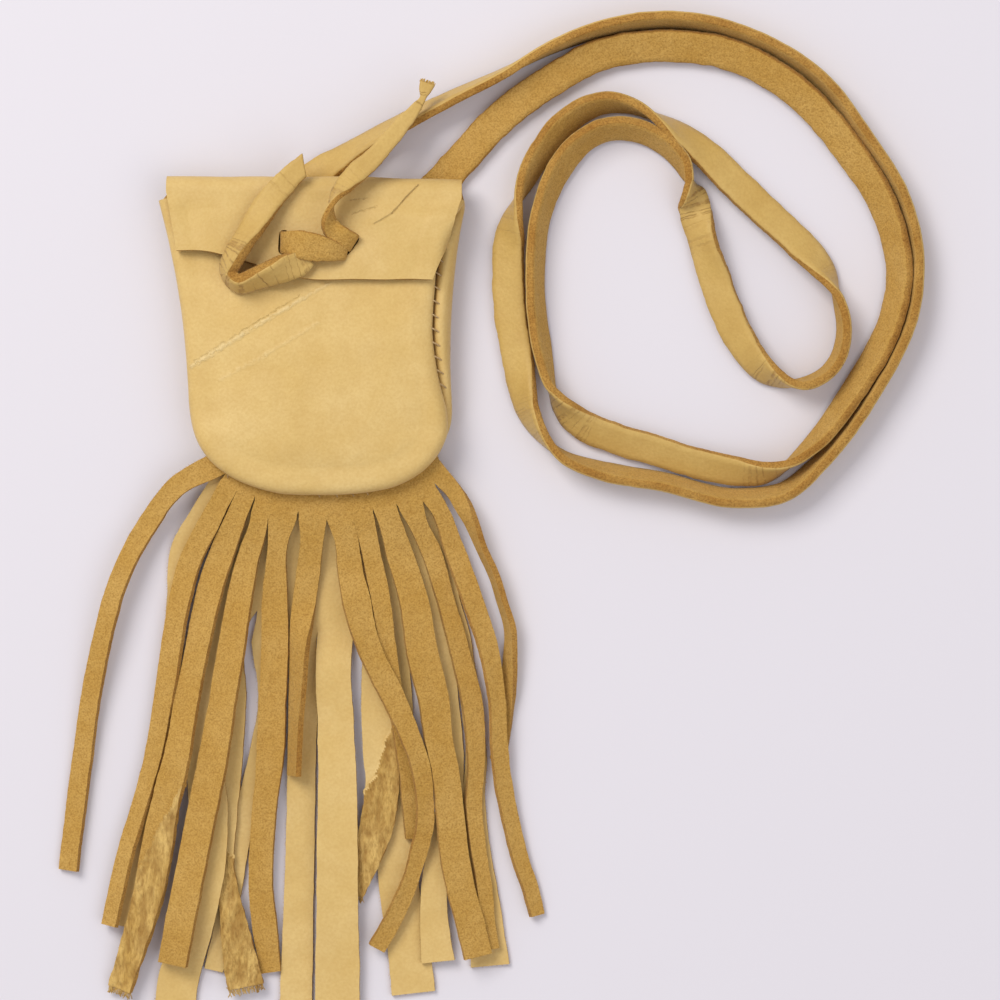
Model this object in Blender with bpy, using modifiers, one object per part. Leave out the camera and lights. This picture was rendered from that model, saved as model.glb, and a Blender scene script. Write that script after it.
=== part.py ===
"""A deerskin medicine bag, lying on its back with its flap tied down.

The pouch is two panels sewn inside out along a U-shaped seam. The back panel runs on over the mouth as the
flap. Two layers of cut fringe are caught in the bottom seam, a folded strip is the toggle, a thong ties it
down through flap and front, and a flat neck lace is laced through two slits at the top of the back.
+X is to the right, +Y towards the flap's fold and +Z up from the surface that the bag lies on.
"""

import math
from functools import lru_cache

import bmesh
import bpy
import numpy as np
from mathutils import Matrix, Vector
from mathutils.bvhtree import BVHTree

MM = 0.001

# The leather, its turned-in seam and the room that two touching pieces keep
LEATHER = 1.3 * MM
CLEARANCE = 0.3 * MM
SEAM_ROOM = 0.6 * MM
SEAM_ALLOWANCE = 2.5 * MM
TURN_RADIUS = 1.0 * MM

# The pouch's outline from above. Below the belly line it is half a superellipse
POUCH_HALF_WIDTH = 32.5 * MM
MOUTH_FLARE = 5.5 * MM
MOUTH_Y = 33 * MM
BELLY_Y = -15 * MM
BOTTOM_DEPTH = 25 * MM
BOTTOM_ROUNDNESS = 2.6
LEAN_AT_MOUTH = -1.25 * MM
LEAN_AT_BOTTOM = 1.65 * MM

# The pouch from the side. The seam runs at SEAM_HEIGHT, apart from the right side, where it has rolled up
SEAM_HEIGHT = 5.6 * MM
MOUTH_CROWN = 8.6 * MM
BELLY_CROWN = 12.8 * MM
FULL_Y = -5 * MM
SHOULDER_DEPTH = 7 * MM
SHOULDER_SHARE = 0.62
SEAM_ROLL = math.radians(70)
ROLL_FROM_Y = -25 * MM
ROLL_FULL_Y = 5 * MM
ROLL_FADE = 13 * MM
ROLLED_SHOULDER = 2.5 * MM

# The fold over the mouth and the flap
FOLD_Y = 39.25 * MM
FLAP_TOP_LEFT = -37.2 * MM
FLAP_TOP_RIGHT = 36.0 * MM
FLAP_LEFT = -34.5 * MM
FLAP_RIGHT = 28.75 * MM
FLAP_LEFT_Y = 20.5 * MM
FLAP_RIGHT_Y = 13 * MM
FLAP_DROOP = 1.5 * MM

# The two layers of fringe, which start side by side in the seam below this line
FRINGE_FROM_Y = -30.25 * MM
FRINGE_OPENS = 12 * MM
SLIT_WIDTH = 0.5 * MM
FRONT_DROP_LENGTH = 25 * MM
BACK_DROP_LENGTH = 19 * MM
HEADER_DEPTHS = (0 * MM, 2 * MM, 3 * MM, 4 * MM, 6 * MM)
HEADER_INSIDE = 3.6 * MM
STRIP_STEP = 6.5 * MM

# The neck lace, the toggle and the thong that ties it
LACE_WIDTH = 8 * MM
LACE_THICKNESS = 2.2 * MM
LACE_POINTS = 80
LACE_LIFT_FROM_Y = 10 * MM
LACE_LIFT_FULL_Y = 26 * MM
TOGGLE_WIDTH = 6.5 * MM
TOGGLE_THICKNESS = 2.2 * MM
THONG_WIDTH = 6 * MM
THONG_THICKNESS = 1.6 * MM
LEFT_SLIT = Vector((-8 * MM, 22.5 * MM, 0))
RIGHT_HOLE = Vector((8 * MM, 21.5 * MM, 0))
INSIDE_RISE = 0.6 * MM
BEND_LENGTH = 25 * MM

# How finely the panels are divided
SIDE_STEPS = 12
BOTTOM_STEPS = 12
ARC_STEPS = 4
SHOULDER_STEPS = 3
FOLD_STEPS = 6
FLAP_STEPS = 7

# Each strip: where its right edge leaves the seam, as a share of the fringed seam, how far below the seam
# its right-hand slit starts in millimetres, and the strip's middle line. A point of the line is millimetres
# right of and above the strip's root, half its width, how many layers of leather it lies above the surface
# and, where the strip is twisted, its roll in degrees
FRONT_FROM = 0.0
FRONT_STRIPS = (
    (0.103, 0, ((-9.5, -5, 2.5, 1.6), (-17.5, -15.5, 2.5, 2.2), (-23.5, -27, 2.4, 2.6), (-27.5, -40, 2.4, 2.2),
                (-30.5, -53.5, 2.5, 1.2), (-33.5, -73.5, 2.5, 0.3), (-37, -101, 2.5, 0))),
    (0.173, 2, ((-5.5, -10, 2.6, 1), (-11, -21, 2.8, 1), (-14, -33.5, 2.8, 1), (-17, -53, 2.8, 1),
                (-20, -70, 2.5, 1), (-23, -80.5, 2.2, 1), (-27, -93.5, 2.2, 1), (-31, -111.5, 2.1, 1))),
    (0.242, 2, ((-3.5, -8.5, 2.6, 1), (-7.5, -18.5, 3.1, 1), (-10.5, -28.5, 3.2, 1.2), (-13, -41, 3.1, 1.7),
                (-15.5, -53.5, 3.2, 2.2), (-18, -68.5, 3.5, 3.2), (-21, -80, 3.8, 2.2), (-23, -91, 4.2, 1.4),
                (-25.5, -103.5, 4.0, 1.2), (-28.5, -113.5, 3.5, 1.2), (-32.5, -125.5, 3.1, 0.3))),
    (0.303, 6, ((-1.5, -7.5, 2.2, 1), (-4.5, -17.5, 2.8, 1), (-6.5, -27.5, 3.2, 1.4), (-8.5, -40, 3.5, 2),
                (-10.5, -52.5, 3.5, 2.5), (-12.5, -65, 3.8, 3.1), (-15, -77.5, 3.8, 3.3), (-17.5, -90, 3.8, 3.3),
                (-20, -102.5, 3.8, 3.3), (-22, -112.5, 3.8, 2.8), (-23, -118, 3.8, 2.2))),
    (0.411, 4, ((-2, -11.5, 2.6, 1), (-3, -26.5, 3.2, 1), (-3, -39, 3.4, 1), (-3.5, -51.5, 3.4, 1),
                (-4, -64, 3.4, 1), (-5, -74, 3.1, 1), (-6, -84, 3.0, 1), (-6.5, -96.5, 3.0, 0.8),
                (-5.5, -109, 3.1, 0.4), (-4, -119.5, 2.5, 0.1))),
    (0.506, 6, ((0, -11, 2.9, 1), (-1, -19, 2.9, 1), (-2, -26, 2.9, 1), (-3, -36, 2.9, 1, 40),
                (-3.5, -46, 2.9, 1, 52), (-4, -56, 2.8, 1.1, 60), (-4.5, -70, 2.4, 1.1, 60))),
    (0.602, 6, ((2.5, -11, 2.9, 1), (3.5, -19, 3.1, 1.6), (5, -26, 3.5, 2.6), (7.5, -36, 3.0, 3.2),
                (11, -44, 2.9, 3.2), (14.5, -51, 2.9, 3.2), (18, -59, 2.5, 3.2), (21, -67.5, 2.4, 2.9),
                (22, -75, 2.2, 2.5), (22, -82.5, 2.2, 2.1), (20.5, -89, 2.1, 2), (18.5, -96, 2.0, 1.9),
                (15, -104, 2.1, 1.5), (10, -113, 2.2, 1.1))),
    (0.683, 4, ((2.5, -11.5, 2.4, 1), (4, -19, 2.4, 1.6), (5.5, -26.5, 2.4, 2.1), (7, -36.5, 2.1, 2.1),
                (8.5, -46.5, 1.9, 2.1), (10, -56.5, 1.8, 2.1), (11.5, -66.5, 1.8, 1.5), (12.5, -76.5, 1.8, 1.2),
                (13, -86, 1.2, 1))),
    (0.770, 4, ((2.5, -7.5, 2.8, 1), (5.5, -17.5, 3.4, 1.2), (8.5, -27.5, 3.6, 1.6), (10.5, -40, 3.9, 2),
                (13.5, -52.5, 3.8, 2), (14.5, -61, 3.5, 2), (16.5, -71, 3.4, 2), (17.5, -80, 3.5, 2),
                (18.5, -90, 3.6, 2), (20.5, -100, 3.5, 2.1), (22.5, -107.5, 3.5, 2.1), (24.5, -116, 3.5, 2.1))),
    (0.862, 6, ((4, -9.5, 2.4, 1), (7.5, -17, 2.4, 1), (11, -29, 2.2, 1), (14.5, -41.5, 2.5, 1),
                (17.5, -54, 2.6, 1), (18.5, -64, 2.4, 1), (18.5, -72.5, 2.1, 1), (18, -80, 2.1, 1),
                (19, -90, 2.0, 1), (20.5, -100, 2.0, 1), (21.5, -110, 2.0, 1), (22.5, -116, 2.0, 1))),
    (0.927, 4, ((4.5, -7.5, 2.2, 1), (9, -19, 2.5, 1.3), (13.5, -31.5, 2.6, 1.7), (17.5, -44, 2.5, 2),
                (19.5, -56.5, 2.1, 2), (20, -66.5, 2.1, 1.6), (21, -76.5, 2.2, 1), (23, -86.5, 2.1, 0.6),
                (25.5, -96.5, 2.1, 0.3), (28, -104, 2.0, 0.1), (29.5, -110, 1.8, 0))),
    (1.000, 0, ((5.5, -7, 2.1, 1), (9.5, -14, 2.1, 1, 50), (12.5, -21.5, 2.1, 1, 68), (15.5, -28, 2.1, 0.8, 70),
                (17.5, -34.5, 2.1, 0.5, 70), (19.5, -41.5, 2.1, 0.3, 65), (19.5, -48, 2.1, 0.1, 55),
                (19, -55.5, 2.1, 0, 40), (18, -63, 2.1, 0, 15), (16.5, -74, 2.0, 0))),
)
BACK_FROM = 0.06
BACK_STRIPS = (
    (0.17, 3, ((-6, -9, 2.2, 0), (-12.5, -18.5, 2.2, 0), (-13.5, -31, 2.2, 0), (-15, -53.5, 2.2, 0),
               (-17.5, -71, 2.2, 0), (-20, -83.5, 2.2, 0), (-23.5, -97.5, 2.2, 0), (-27, -112.5, 2.1, 0))),
    (0.27, 3, ((-3.5, -11, 2.8, 0), (-7, -18.5, 3.1, 0), (-10, -28.5, 3.5, 0), (-11.5, -41, 3.8, 0.4),
               (-12.5, -53.5, 4.0, 1), (-12, -68.5, 4.5, 2.1), (-11, -81, 4.8, 2.2), (-11.5, -93.5, 4.8, 2.2),
               (-13, -103.5, 4.5, 2.1), (-15.5, -113.5, 4.5, 1), (-18.5, -122, 5.0, 0.2), (-20, -136, 5.0, 0))),
    (0.34, 3, ((-3, -9.5, 2.0, 0), (-6, -17, 2.0, 0), (-8, -32, 2.0, 0), (-9, -52, 2.0, 0.6),
               (-10, -67, 2.2, 1), (-11.5, -82, 2.2, 1), (-12, -94.5, 2.2, 1), (-10.5, -104.5, 3.0, 1.1),
               (-9, -113.5, 4.0, 1.1), (-7, -123.5, 4.5, 1.1))),
    (0.41, 3, ((-2.5, -11.5, 2.4, 0), (-4.5, -26.5, 2.5, 0), (-6, -51.5, 2.4, 0), (-8.5, -66.5, 2.5, 0),
               (-12.5, -84, 2.5, 0), (-15.5, -101.5, 2.5, 0), (-19.5, -119, 2.4, 0))),
    (0.50, 3, ((0, -14, 3.0, 0), (-1.5, -31, 3.2, 0), (-2, -51, 3.5, 0), (-2.5, -66, 3.5, 0),
               (-3, -89, 3.6, 0), (-3.5, -109, 3.8, 0), (-4, -126, 4.0, 0), (-4.5, -137.5, 4.0, 0))),
    (0.60, 3, ((0, -16, 2.6, 0.4), (0, -22, 3.3, 1), (-0.5, -29, 4.0, 1.1), (-0.5, -41, 4.4, 1.1), (0, -56, 4.5, 1.3),
               (0.5, -71, 4.8, 1.9), (0.5, -89, 5.1, 2.1), (0.5, -104, 5.2, 1.8), (0.5, -116, 5.5, 1.3),
               (0.5, -136, 5.5, 1))),
    (0.68, 3, ((0.5, -14, 2.2, 0), (2, -26.5, 2.4, 0.9), (3.5, -36.5, 3.0, 1), (4.5, -49, 3.8, 1),
               (5, -61.5, 4.0, 1), (6, -73, 4.2, 1), (4.5, -83, 4.2, 1), (2, -91, 3.5, 1),
               (-1.5, -99.5, 3.0, 0.4))),
    (0.77, 3, ((0.5, -15, 2.2, 0), (2.5, -27.5, 2.8, 0), (4, -40, 3.5, 0), (4, -52.5, 4.2, 0),
               (4, -67.5, 4.5, 0), (4, -87.5, 4.8, 0), (5, -100, 5.0, 0), (7, -112.5, 5.2, 0),
               (8.5, -125.5, 5.4, 0))),
    (0.85, 3, ((3, -14, 2.2, 0), (7.5, -26.5, 2.2, 0), (10.5, -40, 2.2, 0), (12.5, -54, 2.2, 0),
               (13, -66.5, 2.8, 0), (12, -81.5, 3.2, 0), (10, -91.5, 3.2, 0.4), (8.5, -100, 3.2, 1),
               (8.5, -109, 3.5, 1), (9.5, -119, 4.2, 1))),
    (0.93, 3, ((4, -13.5, 2.1, 0), (7.5, -26, 2.1, 0), (11, -41, 2.2, 0), (13, -56, 2.4, 0),
               (14.5, -68.5, 2.6, 0), (14, -81, 2.8, 0), (15, -93.5, 3.0, 0), (16.5, -106, 3.8, 0),
               (18, -122.5, 4.8, 0))),
)

# The toggle's middle line in millimetres, each point with its roll in degrees
TOGGLE_LINE = (
    (-3.75, 42.5, 0), (-8.5, 36.75, 0), (-14, 30.75, 28), (-18.2, 25, 52), (-21.6, 19.5, 64), (-22.2, 14.8, 66),
    (-19, 12, 64), (-14.5, 13.2, 52), (-10, 14.9, 32), (-5.5, 16.3, 6),
)

# The thong: its tail and its bar in millimetres, each point with its height above the flap and its roll
THONG_TAIL = (
    (28, 60.75, -2.4, 0), (25, 56.75, -2.1, 0), (21, 52.75, -1.4, 0), (16.75, 48.25, -0.2, 0),
    (11.75, 42.5, 1.2, 0), (8, 38.25, 1.6, 10), (5.25, 33.75, 3.4, 60), (3.75, 29.75, 4.4, 90),
    (3.25, 26, 4.6, 120), (4.5, 22.75, 4.5, 160), (6.5, 21.6, 4.2, 180), (8.25, 21.5, 2.9, 180),
)
THONG_BAR = (
    (-7.5, 22.5, 1.1, 180), (-6.2, 22.45, 2.3, 180), (-4, 22.4, 3.2, 180), (0, 22.1, 2.6, 180),
    (4.2, 21.7, 1.8, 180), (6, 21.6, 1.4, 180), (6.9, 21.5, 0.4, 180),
)

# The neck lace's middle line in millimetres with its roll in degrees, from one slit in the back to the other
LACE_LINE = (
    (-4.5, 36.25, 0), (0, 40, 0), (6.75, 44.25, 30), (15.5, 49.5, 60), (24.45, 54.4, 62), (35.87, 60.04, 55),
    (46.15, 64.87, 50), (56.31, 70.53, 66), (70.98, 76.1, 72), (90.42, 78.2, 75), (105.33, 74.9, 75),
    (126.1, 62.5, 75), (135.85, 49.71, 75), (145.99, 32.6, 75), (148.81, 21.07, 75), (148.04, 6.64, 75),
    (138.27, -14.58, 75), (125.77, -31.26, 72), (116.1, -39.25, 65), (104.28, -40.8, 65),
    (85.6, -36.6, 65), (70.65, -33.92, 66), (61.1, -30.33, 80), (56.75, -26.25, 95), (53.25, -20.75, 115),
    (50, -6.25, 155), (47.5, 13.75, 160), (47.75, 22.5, 150), (48.5, 28.25, 120), (50.25, 34.25, 85),
    (53, 40.75, 60), (56.75, 46.75, 50), (61, 52, 48), (66, 55.75, 55), (71.75, 57.75, 62), (78, 57, 75),
    (84.25, 54, 95), (90.5, 49.75, 125), (95.5, 46, 145), (105.5, 36.5, 158), (115.5, 27, 156),
    (120.5, 22.25, 150), (125.5, 16.75, 130), (129, 10.75, 92), (131, -1.25, 76), (129.5, -6.25, 74),
    (126, -10.25, 74), (121.25, -12.25, 76), (116.25, -11.75, 95), (111.75, -9.25, 120), (105, -0.5, 150),
    (99.5, 12.5, 158), (95, 27.5, 150), (93.75, 33, 200), (92.75, 37.75, 262), (91, 42.5, 285),
    (87.5, 46.5, 290), (82.5, 49.75, 295), (76.75, 51.25, 297), (71, 50.75, 298), (66.25, 48.25, 300),
    (62, 43.75, 305), (58.75, 38.25, 300), (56.25, 31.75, 295), (54.25, 13.75, 290), (56.5, -6.25, 288),
    (58.25, -13.25, 272), (60.75, -17.5, 245), (64.75, -21.5, 215), (75.5, -26.25, 203), (85.5, -29.25, 202),
    (95.5, -32.25, 204), (104.25, -34, 212), (111, -34.5, 235), (117, -32.5, 265), (123, -27.75, 285),
    (133.5, -14, 300), (143, 3.75, 303), (145, 13.75, 303), (142, 29.75, 310), (131.75, 47, 325),
    (119.25, 60.75, 328), (104.25, 69.4, 334), (85.5, 72, 336), (70.5, 69.8, 338), (58, 63.25, 350),
    (45.5, 54, 357), (35, 42.75, 360), (30.75, 38.25, 360), (26.75, 34.25, 360),
)
LACE_LEFT_SLIT = ((-8, 33), (-13, 28.4), (-19, 22.5))
LACE_RIGHT_SLIT = ((25.5, 33), (20.5, 28.2), (15, 22.5))


def mix(first, second, share):
    return first + (second - first) * share


def smooth(share):
    """A share limited to 0 to 1, with an even start and end."""
    share = min(max(share, 0.0), 1.0)
    return share * share * (3 - 2 * share)


def lean(y):
    """How far the pouch's middle line stands to the right at this height of the plan."""
    bottom_y = BELLY_Y - BOTTOM_DEPTH
    return mix(LEAN_AT_BOTTOM, LEAN_AT_MOUTH, (y - bottom_y) / (MOUTH_Y - bottom_y))


def outline(t):
    """The pouch's outline: t is 0 to 1 down the left side, to 2 along the bottom and to 3 up the right."""
    if 1 < t < 2:
        angle = math.radians(45 + 90 * (t - 1))
        side = -math.copysign(1, math.cos(angle))
    else:
        from_mouth = t if t <= 1 else 3 - t
        side = -1 if t <= 1 else 1
        if from_mouth < 0.5:
            up = 1 - 2 * from_mouth
            y = mix(BELLY_Y, MOUTH_Y, up)
            return Vector((lean(y) + side * (POUCH_HALF_WIDTH + MOUTH_FLARE * up * up), y, 0))
        angle = math.radians(45 * (2 * from_mouth - 1))
    power = 2 / BOTTOM_ROUNDNESS
    y = BELLY_Y - BOTTOM_DEPTH * math.sin(angle) ** power
    return Vector((lean(y) + side * POUCH_HALF_WIDTH * abs(math.cos(angle)) ** power, y, 0))


def outwards(t):
    """The outline's outward direction in the plan."""
    step = 0.02
    along = outline(min(t + step, 3.0)) - outline(max(t - step, 0.0))
    return Vector((along.y, -along.x, 0)).normalized()


def seam_roll(t):
    """How far the seam has rolled up over the right-hand edge."""
    if t <= 2:
        return 0.0
    y = outline(t).y
    rise = min(max((y - ROLL_FROM_Y) / (ROLL_FULL_Y - ROLL_FROM_Y), 0), 1)
    fall = min(max((MOUTH_Y - y) / ROLL_FADE, 0), 1)
    return SEAM_ROLL * math.sin(math.pi / 2 * rise) * math.sin(math.pi / 2 * fall)


def seam_gap(t):
    """The room between the two panels' seam allowances, which take both layers of fringe at the bottom."""
    fringe = 2 * LEATHER + 3 * CLEARANCE
    return mix(SEAM_ROOM, fringe, smooth((FRINGE_FROM_Y + FRINGE_OPENS - outline(t).y) / FRINGE_OPENS))


def crown(y):
    """The height of the middle of the front panel's leather."""
    return mix(MOUTH_CROWN, BELLY_CROWN, smooth((MOUTH_Y - y) / (MOUTH_Y - FULL_Y)))


def edge_place(t, out, up):
    """A point near the pouch's edge, given outwards and upwards from the middle of its rounded edge."""
    return outline(t) + outwards(t) * (out - SEAM_HEIGHT) + Vector((0, 0, SEAM_HEIGHT + up))


def turned_edge(t, side):
    """Where a panel turns in at the seam, from its shoulder to the end of its allowance. side is 1 in front."""
    roll = seam_roll(t)
    radial = Vector((math.cos(roll), math.sin(roll)))
    around = Vector((-math.sin(roll), math.cos(roll))) * side
    half = (seam_gap(t) + LEATHER) / 2
    reach = SEAM_HEIGHT - LEATHER / 2
    slant = TURN_RADIUS * math.sqrt(0.5)
    return [
        radial * reach + around * (half + TURN_RADIUS),
        radial * (reach - TURN_RADIUS + slant) + around * (half + TURN_RADIUS - slant),
        radial * (reach - TURN_RADIUS) + around * half,
        radial * (reach - TURN_RADIUS - SEAM_ALLOWANCE) + around * half,
    ]


def front_section(t):
    """The front panel's section at its edge, from the inner end of its shoulder to its seam allowance."""
    turned = turned_edge(t, 1)
    shoulder = turned[0]
    roll = seam_roll(t)
    depth = SHOULDER_DEPTH + ROLLED_SHOULDER * roll / SEAM_ROLL
    rise = max(crown(outline(t).y) - SEAM_HEIGHT - shoulder.y, 0)
    inner = Vector((SEAM_HEIGHT - depth, shoulder.y + SHOULDER_SHARE * rise))
    reach = (inner - shoulder).length
    leaves = shoulder + Vector((-math.sin(roll), math.cos(roll))) * reach * 0.45
    arrives = inner + Vector((1, -0.2)) * reach * 0.4
    points = []
    for step in range(SHOULDER_STEPS):
        s = step / SHOULDER_STEPS
        points.append(
            inner * (1 - s) ** 3 + arrives * 3 * s * (1 - s) ** 2 + leaves * 3 * s * s * (1 - s) + shoulder * s**3
        )
    return [edge_place(t, *point) for point in points + turned]


def back_lift(y):
    """How far the back is raised by the lace that passes under it."""
    rise = LACE_THICKNESS + 2 * CLEARANCE
    return rise * smooth((y - LACE_LIFT_FROM_Y) / (LACE_LIFT_FULL_Y - LACE_LIFT_FROM_Y))


def lifted(point):
    """The point raised by the lace, less so towards the seam, which stays at its height."""
    lowest = LEATHER / 2
    seam_foot = SEAM_HEIGHT - (SEAM_ROOM + LEATHER) / 2 - TURN_RADIUS
    share = max(1 - (point.z - lowest) / (seam_foot - lowest), 0)
    return point + Vector((0, 0, back_lift(point.y) * share))


def back_section(t):
    """The back panel's section at its edge, from its flat bottom round to its seam allowance."""
    turned = turned_edge(t, -1)
    lowest = SEAM_HEIGHT - LEATHER / 2
    end = math.atan2(turned[0].y, turned[0].x)
    points = []
    for step in range(ARC_STEPS):
        s = step / ARC_STEPS
        angle = mix(-math.pi / 2, end, s)
        radius = mix(lowest, turned[0].length, s * s)
        points.append(Vector((radius * math.cos(angle), max(radius * math.sin(angle), -lowest))))
    return [lifted(edge_place(t, *point)) for point in points + turned]


def patch(sections, raise_point):
    """Rows of points that fill the panel inside its edge sections, from the mouth to the bottom."""
    inner = [section[0] for section in sections]
    left = inner[: SIDE_STEPS + 1]
    bottom = inner[SIDE_STEPS : SIDE_STEPS + BOTTOM_STEPS + 1]
    right = inner[SIDE_STEPS + BOTTOM_STEPS :][::-1]
    rows = []
    for j in range(SIDE_STEPS + 1):
        down = j / SIDE_STEPS
        row = []
        for i in range(BOTTOM_STEPS + 1):
            across = i / BOTTOM_STEPS
            point = mix(left[j], right[j], across)
            point = point + (bottom[i] - mix(bottom[0], bottom[-1], across)) * down
            row.append(raise_point(point, 2 * across - 1, max(2 * down - 1, 0)))
        rows.append(row)
    return rows


def seam_steps():
    """The values of t at which the panels' edges are divided."""
    left = [j / SIDE_STEPS for j in range(SIDE_STEPS)]
    bottom = [1 + i / BOTTOM_STEPS for i in range(BOTTOM_STEPS)]
    right = [2 + j / SIDE_STEPS for j in range(SIDE_STEPS + 1)]
    return left + bottom + right


def add_strip(mesh, first, second):
    """Joins two lines of vertices with faces."""
    for a, b, c, d in zip(first, first[1:], second[1:], second):
        corners = list(dict.fromkeys((a, b, c, d)))
        if len(corners) > 2:
            mesh.faces.new(corners)


def panel_mesh(sections, rows):
    """A panel's leather as an open surface. Returns the mesh and its line of vertices across the mouth."""
    mesh = bmesh.new()
    grid = [[mesh.verts.new(point) for point in row] for row in rows]
    for upper, lower in zip(grid, grid[1:]):
        add_strip(mesh, upper, lower)
    ring = [row[0] for row in grid[:-1]] + grid[-1] + [row[-1] for row in reversed(grid[:-1])]
    rings = [ring]
    for place in range(1, len(sections[0])):
        rings.append([mesh.verts.new(section[place]) for section in sections])
    for inner, outer in zip(rings, rings[1:]):
        add_strip(mesh, inner, outer)
    turned = 4
    edge = rings[: len(rings) - turned + 1]
    mouth = [line[0] for line in reversed(edge)] + grid[0][1:-1] + [line[-1] for line in edge]
    return mesh, mouth


def finish(mesh, name, material, collection, offset=0.0):
    """Makes the leather's object, with its thickness from a Solidify modifier."""
    bmesh.ops.recalc_face_normals(mesh, faces=mesh.faces)
    data = bpy.data.meshes.new(name)
    mesh.to_mesh(data)
    mesh.free()
    data.materials.append(material)
    data.shade_smooth()
    obj = bpy.data.objects.new(name, data)
    collection.objects.link(obj)
    solidify = obj.modifiers.new("Leather", "SOLIDIFY")
    solidify.thickness = LEATHER
    solidify.offset = offset
    return obj


def domed(point, across, below):
    """A point inside the front panel, raised towards the crown."""
    share = (1 - across * across) * (1 - below * below)
    return Vector((point.x, point.y, mix(point.z, crown(point.y), share)))


def front_panel(material, collection):
    sections = [front_section(t) for t in seam_steps()]
    mesh, _ = panel_mesh(sections, patch(sections, domed))
    return finish(mesh, "front_panel", material, collection)


def flap_height(front, x, y, across):
    """The middle of the flap's leather on the front. across is -1 at its left edge and 1 at its right."""
    lies = top_of([front], x, min(y, MOUTH_Y - 2 * MM)) + CLEARANCE + LEATHER / 2
    return max(lies, crown(y) + LEATHER + CLEARANCE - FLAP_DROOP * across**4)


def flap_edge_y(share):
    """The flap's lower edge, which steps down towards the right."""
    return mix(FLAP_LEFT_Y, FLAP_RIGHT_Y, 1 - (1 - share) ** 2)


def back_and_flap(front, material, collection):
    """The back, which runs on round the fold and down over the front as the flap."""
    sections = [back_section(t) for t in seam_steps()]
    flat = patch(sections, lambda point, across, below: point)
    mesh, mouth = panel_mesh(sections, flat)
    low = LEATHER / 2 + back_lift(MOUTH_Y)
    high = MOUTH_CROWN + LEATHER + CLEARANCE
    radius = (high - low) / 2
    turn_y = FOLD_Y - radius - LEATHER / 2
    left, right = mouth[0].co.x, mouth[-1].co.x
    shares = [(vertex.co.x - left) / (right - left) for vertex in mouth]
    rests = [vertex.co.z - low for vertex in mouth]

    def row_of(places):
        return [mesh.verts.new(place) for place in places]

    previous = mouth
    for step in range(FOLD_STEPS + 1):
        angle = math.pi * step / FOLD_STEPS
        y = turn_y + radius * math.sin(angle)
        z = low + radius * (1 - math.cos(angle))
        kept = max(1 - step / 2, 0) * 0.5
        row = row_of(
            Vector((mix(FLAP_TOP_LEFT, FLAP_TOP_RIGHT, share), y, z + rest * kept))
            for share, rest in zip(shares, rests)
        )
        add_strip(mesh, previous, row)
        previous = row
    for step in range(1, FLAP_STEPS + 1):
        down = step / FLAP_STEPS
        places = []
        for share in shares:
            y = mix(turn_y, flap_edge_y(share), down)
            x = mix(mix(FLAP_TOP_LEFT, FLAP_TOP_RIGHT, share), mix(FLAP_LEFT, FLAP_RIGHT, share), down)
            places.append(Vector((x, y, flap_height(front, x, y, 2 * share - 1))))
        row = row_of(places)
        add_strip(mesh, previous, row)
        previous = row
    return finish(mesh, "back_panel_flap", material, collection)


def curve_through(knots, count, bend=0.0):
    """Points along a smooth curve through the knots, closer together in bends. A knot starts with its place."""
    knots = np.array(knots, float)
    gaps = np.linalg.norm(np.diff(knots[:, :3], axis=0), axis=1)[:, None]
    slopes = np.diff(knots, axis=0) / gaps
    inner = (slopes[:-1] * gaps[1:] + slopes[1:] * gaps[:-1]) / (gaps[:-1] + gaps[1:])
    tangents = np.concatenate([slopes[:1], inner, slopes[-1:]]) if len(knots) > 2 else slopes[[0, 0]]
    s = np.linspace(0, 1, 12, endpoint=False)[:, None]
    pieces = []
    for i, gap in enumerate(gaps):
        start = knots[i] * (2 * s**3 - 3 * s**2 + 1) + tangents[i] * gap * (s**3 - 2 * s**2 + s)
        end = knots[i + 1] * (3 * s**2 - 2 * s**3) + tangents[i + 1] * gap * (s**3 - s**2)
        pieces.append(start + end)
    fine = np.concatenate(pieces + [knots[-1:]])
    steps = np.diff(fine[:, :3], axis=0)
    lengths = np.linalg.norm(steps, axis=1)
    heading = steps / lengths[:, None]
    turns = np.concatenate([[0], np.linalg.norm(np.diff(heading, axis=0), axis=1)])
    effort = np.concatenate([[0], np.cumsum(lengths + bend * turns)])
    wanted = np.linspace(0, effort[-1], count)
    return np.stack([np.interp(wanted, effort, column) for column in fine.T], axis=1)


@lru_cache(maxsize=None)
def fringed_seam():
    """The values of t along the fringed seam and how far along it each of them lies, from 0 to 1."""
    ts = [t for t in np.linspace(0, 3, 901) if outline(t).y <= FRINGE_FROM_Y]
    lengths = [(outline(b) - outline(a)).length for a, b in zip(ts, ts[1:])]
    along = np.concatenate([[0], np.cumsum(lengths)])
    return np.array(ts), along / along[-1]


def seam_t(share):
    ts, along = fringed_seam()
    return float(np.interp(share, along, ts))


def fringe_height(below, layers, drop_length):
    """The middle of a strip's leather this far below the seam and this many layers above the surface."""
    drop = SEAM_HEIGHT - CLEARANCE / 2 - LEATHER
    return LEATHER / 2 + drop * (1 - smooth(below / drop_length)) + layers * (LEATHER + CLEARANCE)


def fringe_edges(start, strips):
    """Where each slit or outer edge leaves the seam: its root, its direction and how far down it is uncut."""
    shares = [start] + [strip[0] for strip in strips]
    headings = []
    for line in (strip[2] for strip in strips):
        headings.append(Vector((line[0][0], line[0][1], 0)).normalized())
    edges = []
    for i, share in enumerate(shares):
        beside = headings[max(i - 1, 0) : i + 1]
        heading = sum(beside, Vector((0, 0, 0))).normalized()
        uncut = strips[i - 1][1] * MM if 0 < i < len(strips) else 0
        edges.append((outline(seam_t(share)), outwards(seam_t(share)), heading, uncut))
    return edges


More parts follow.
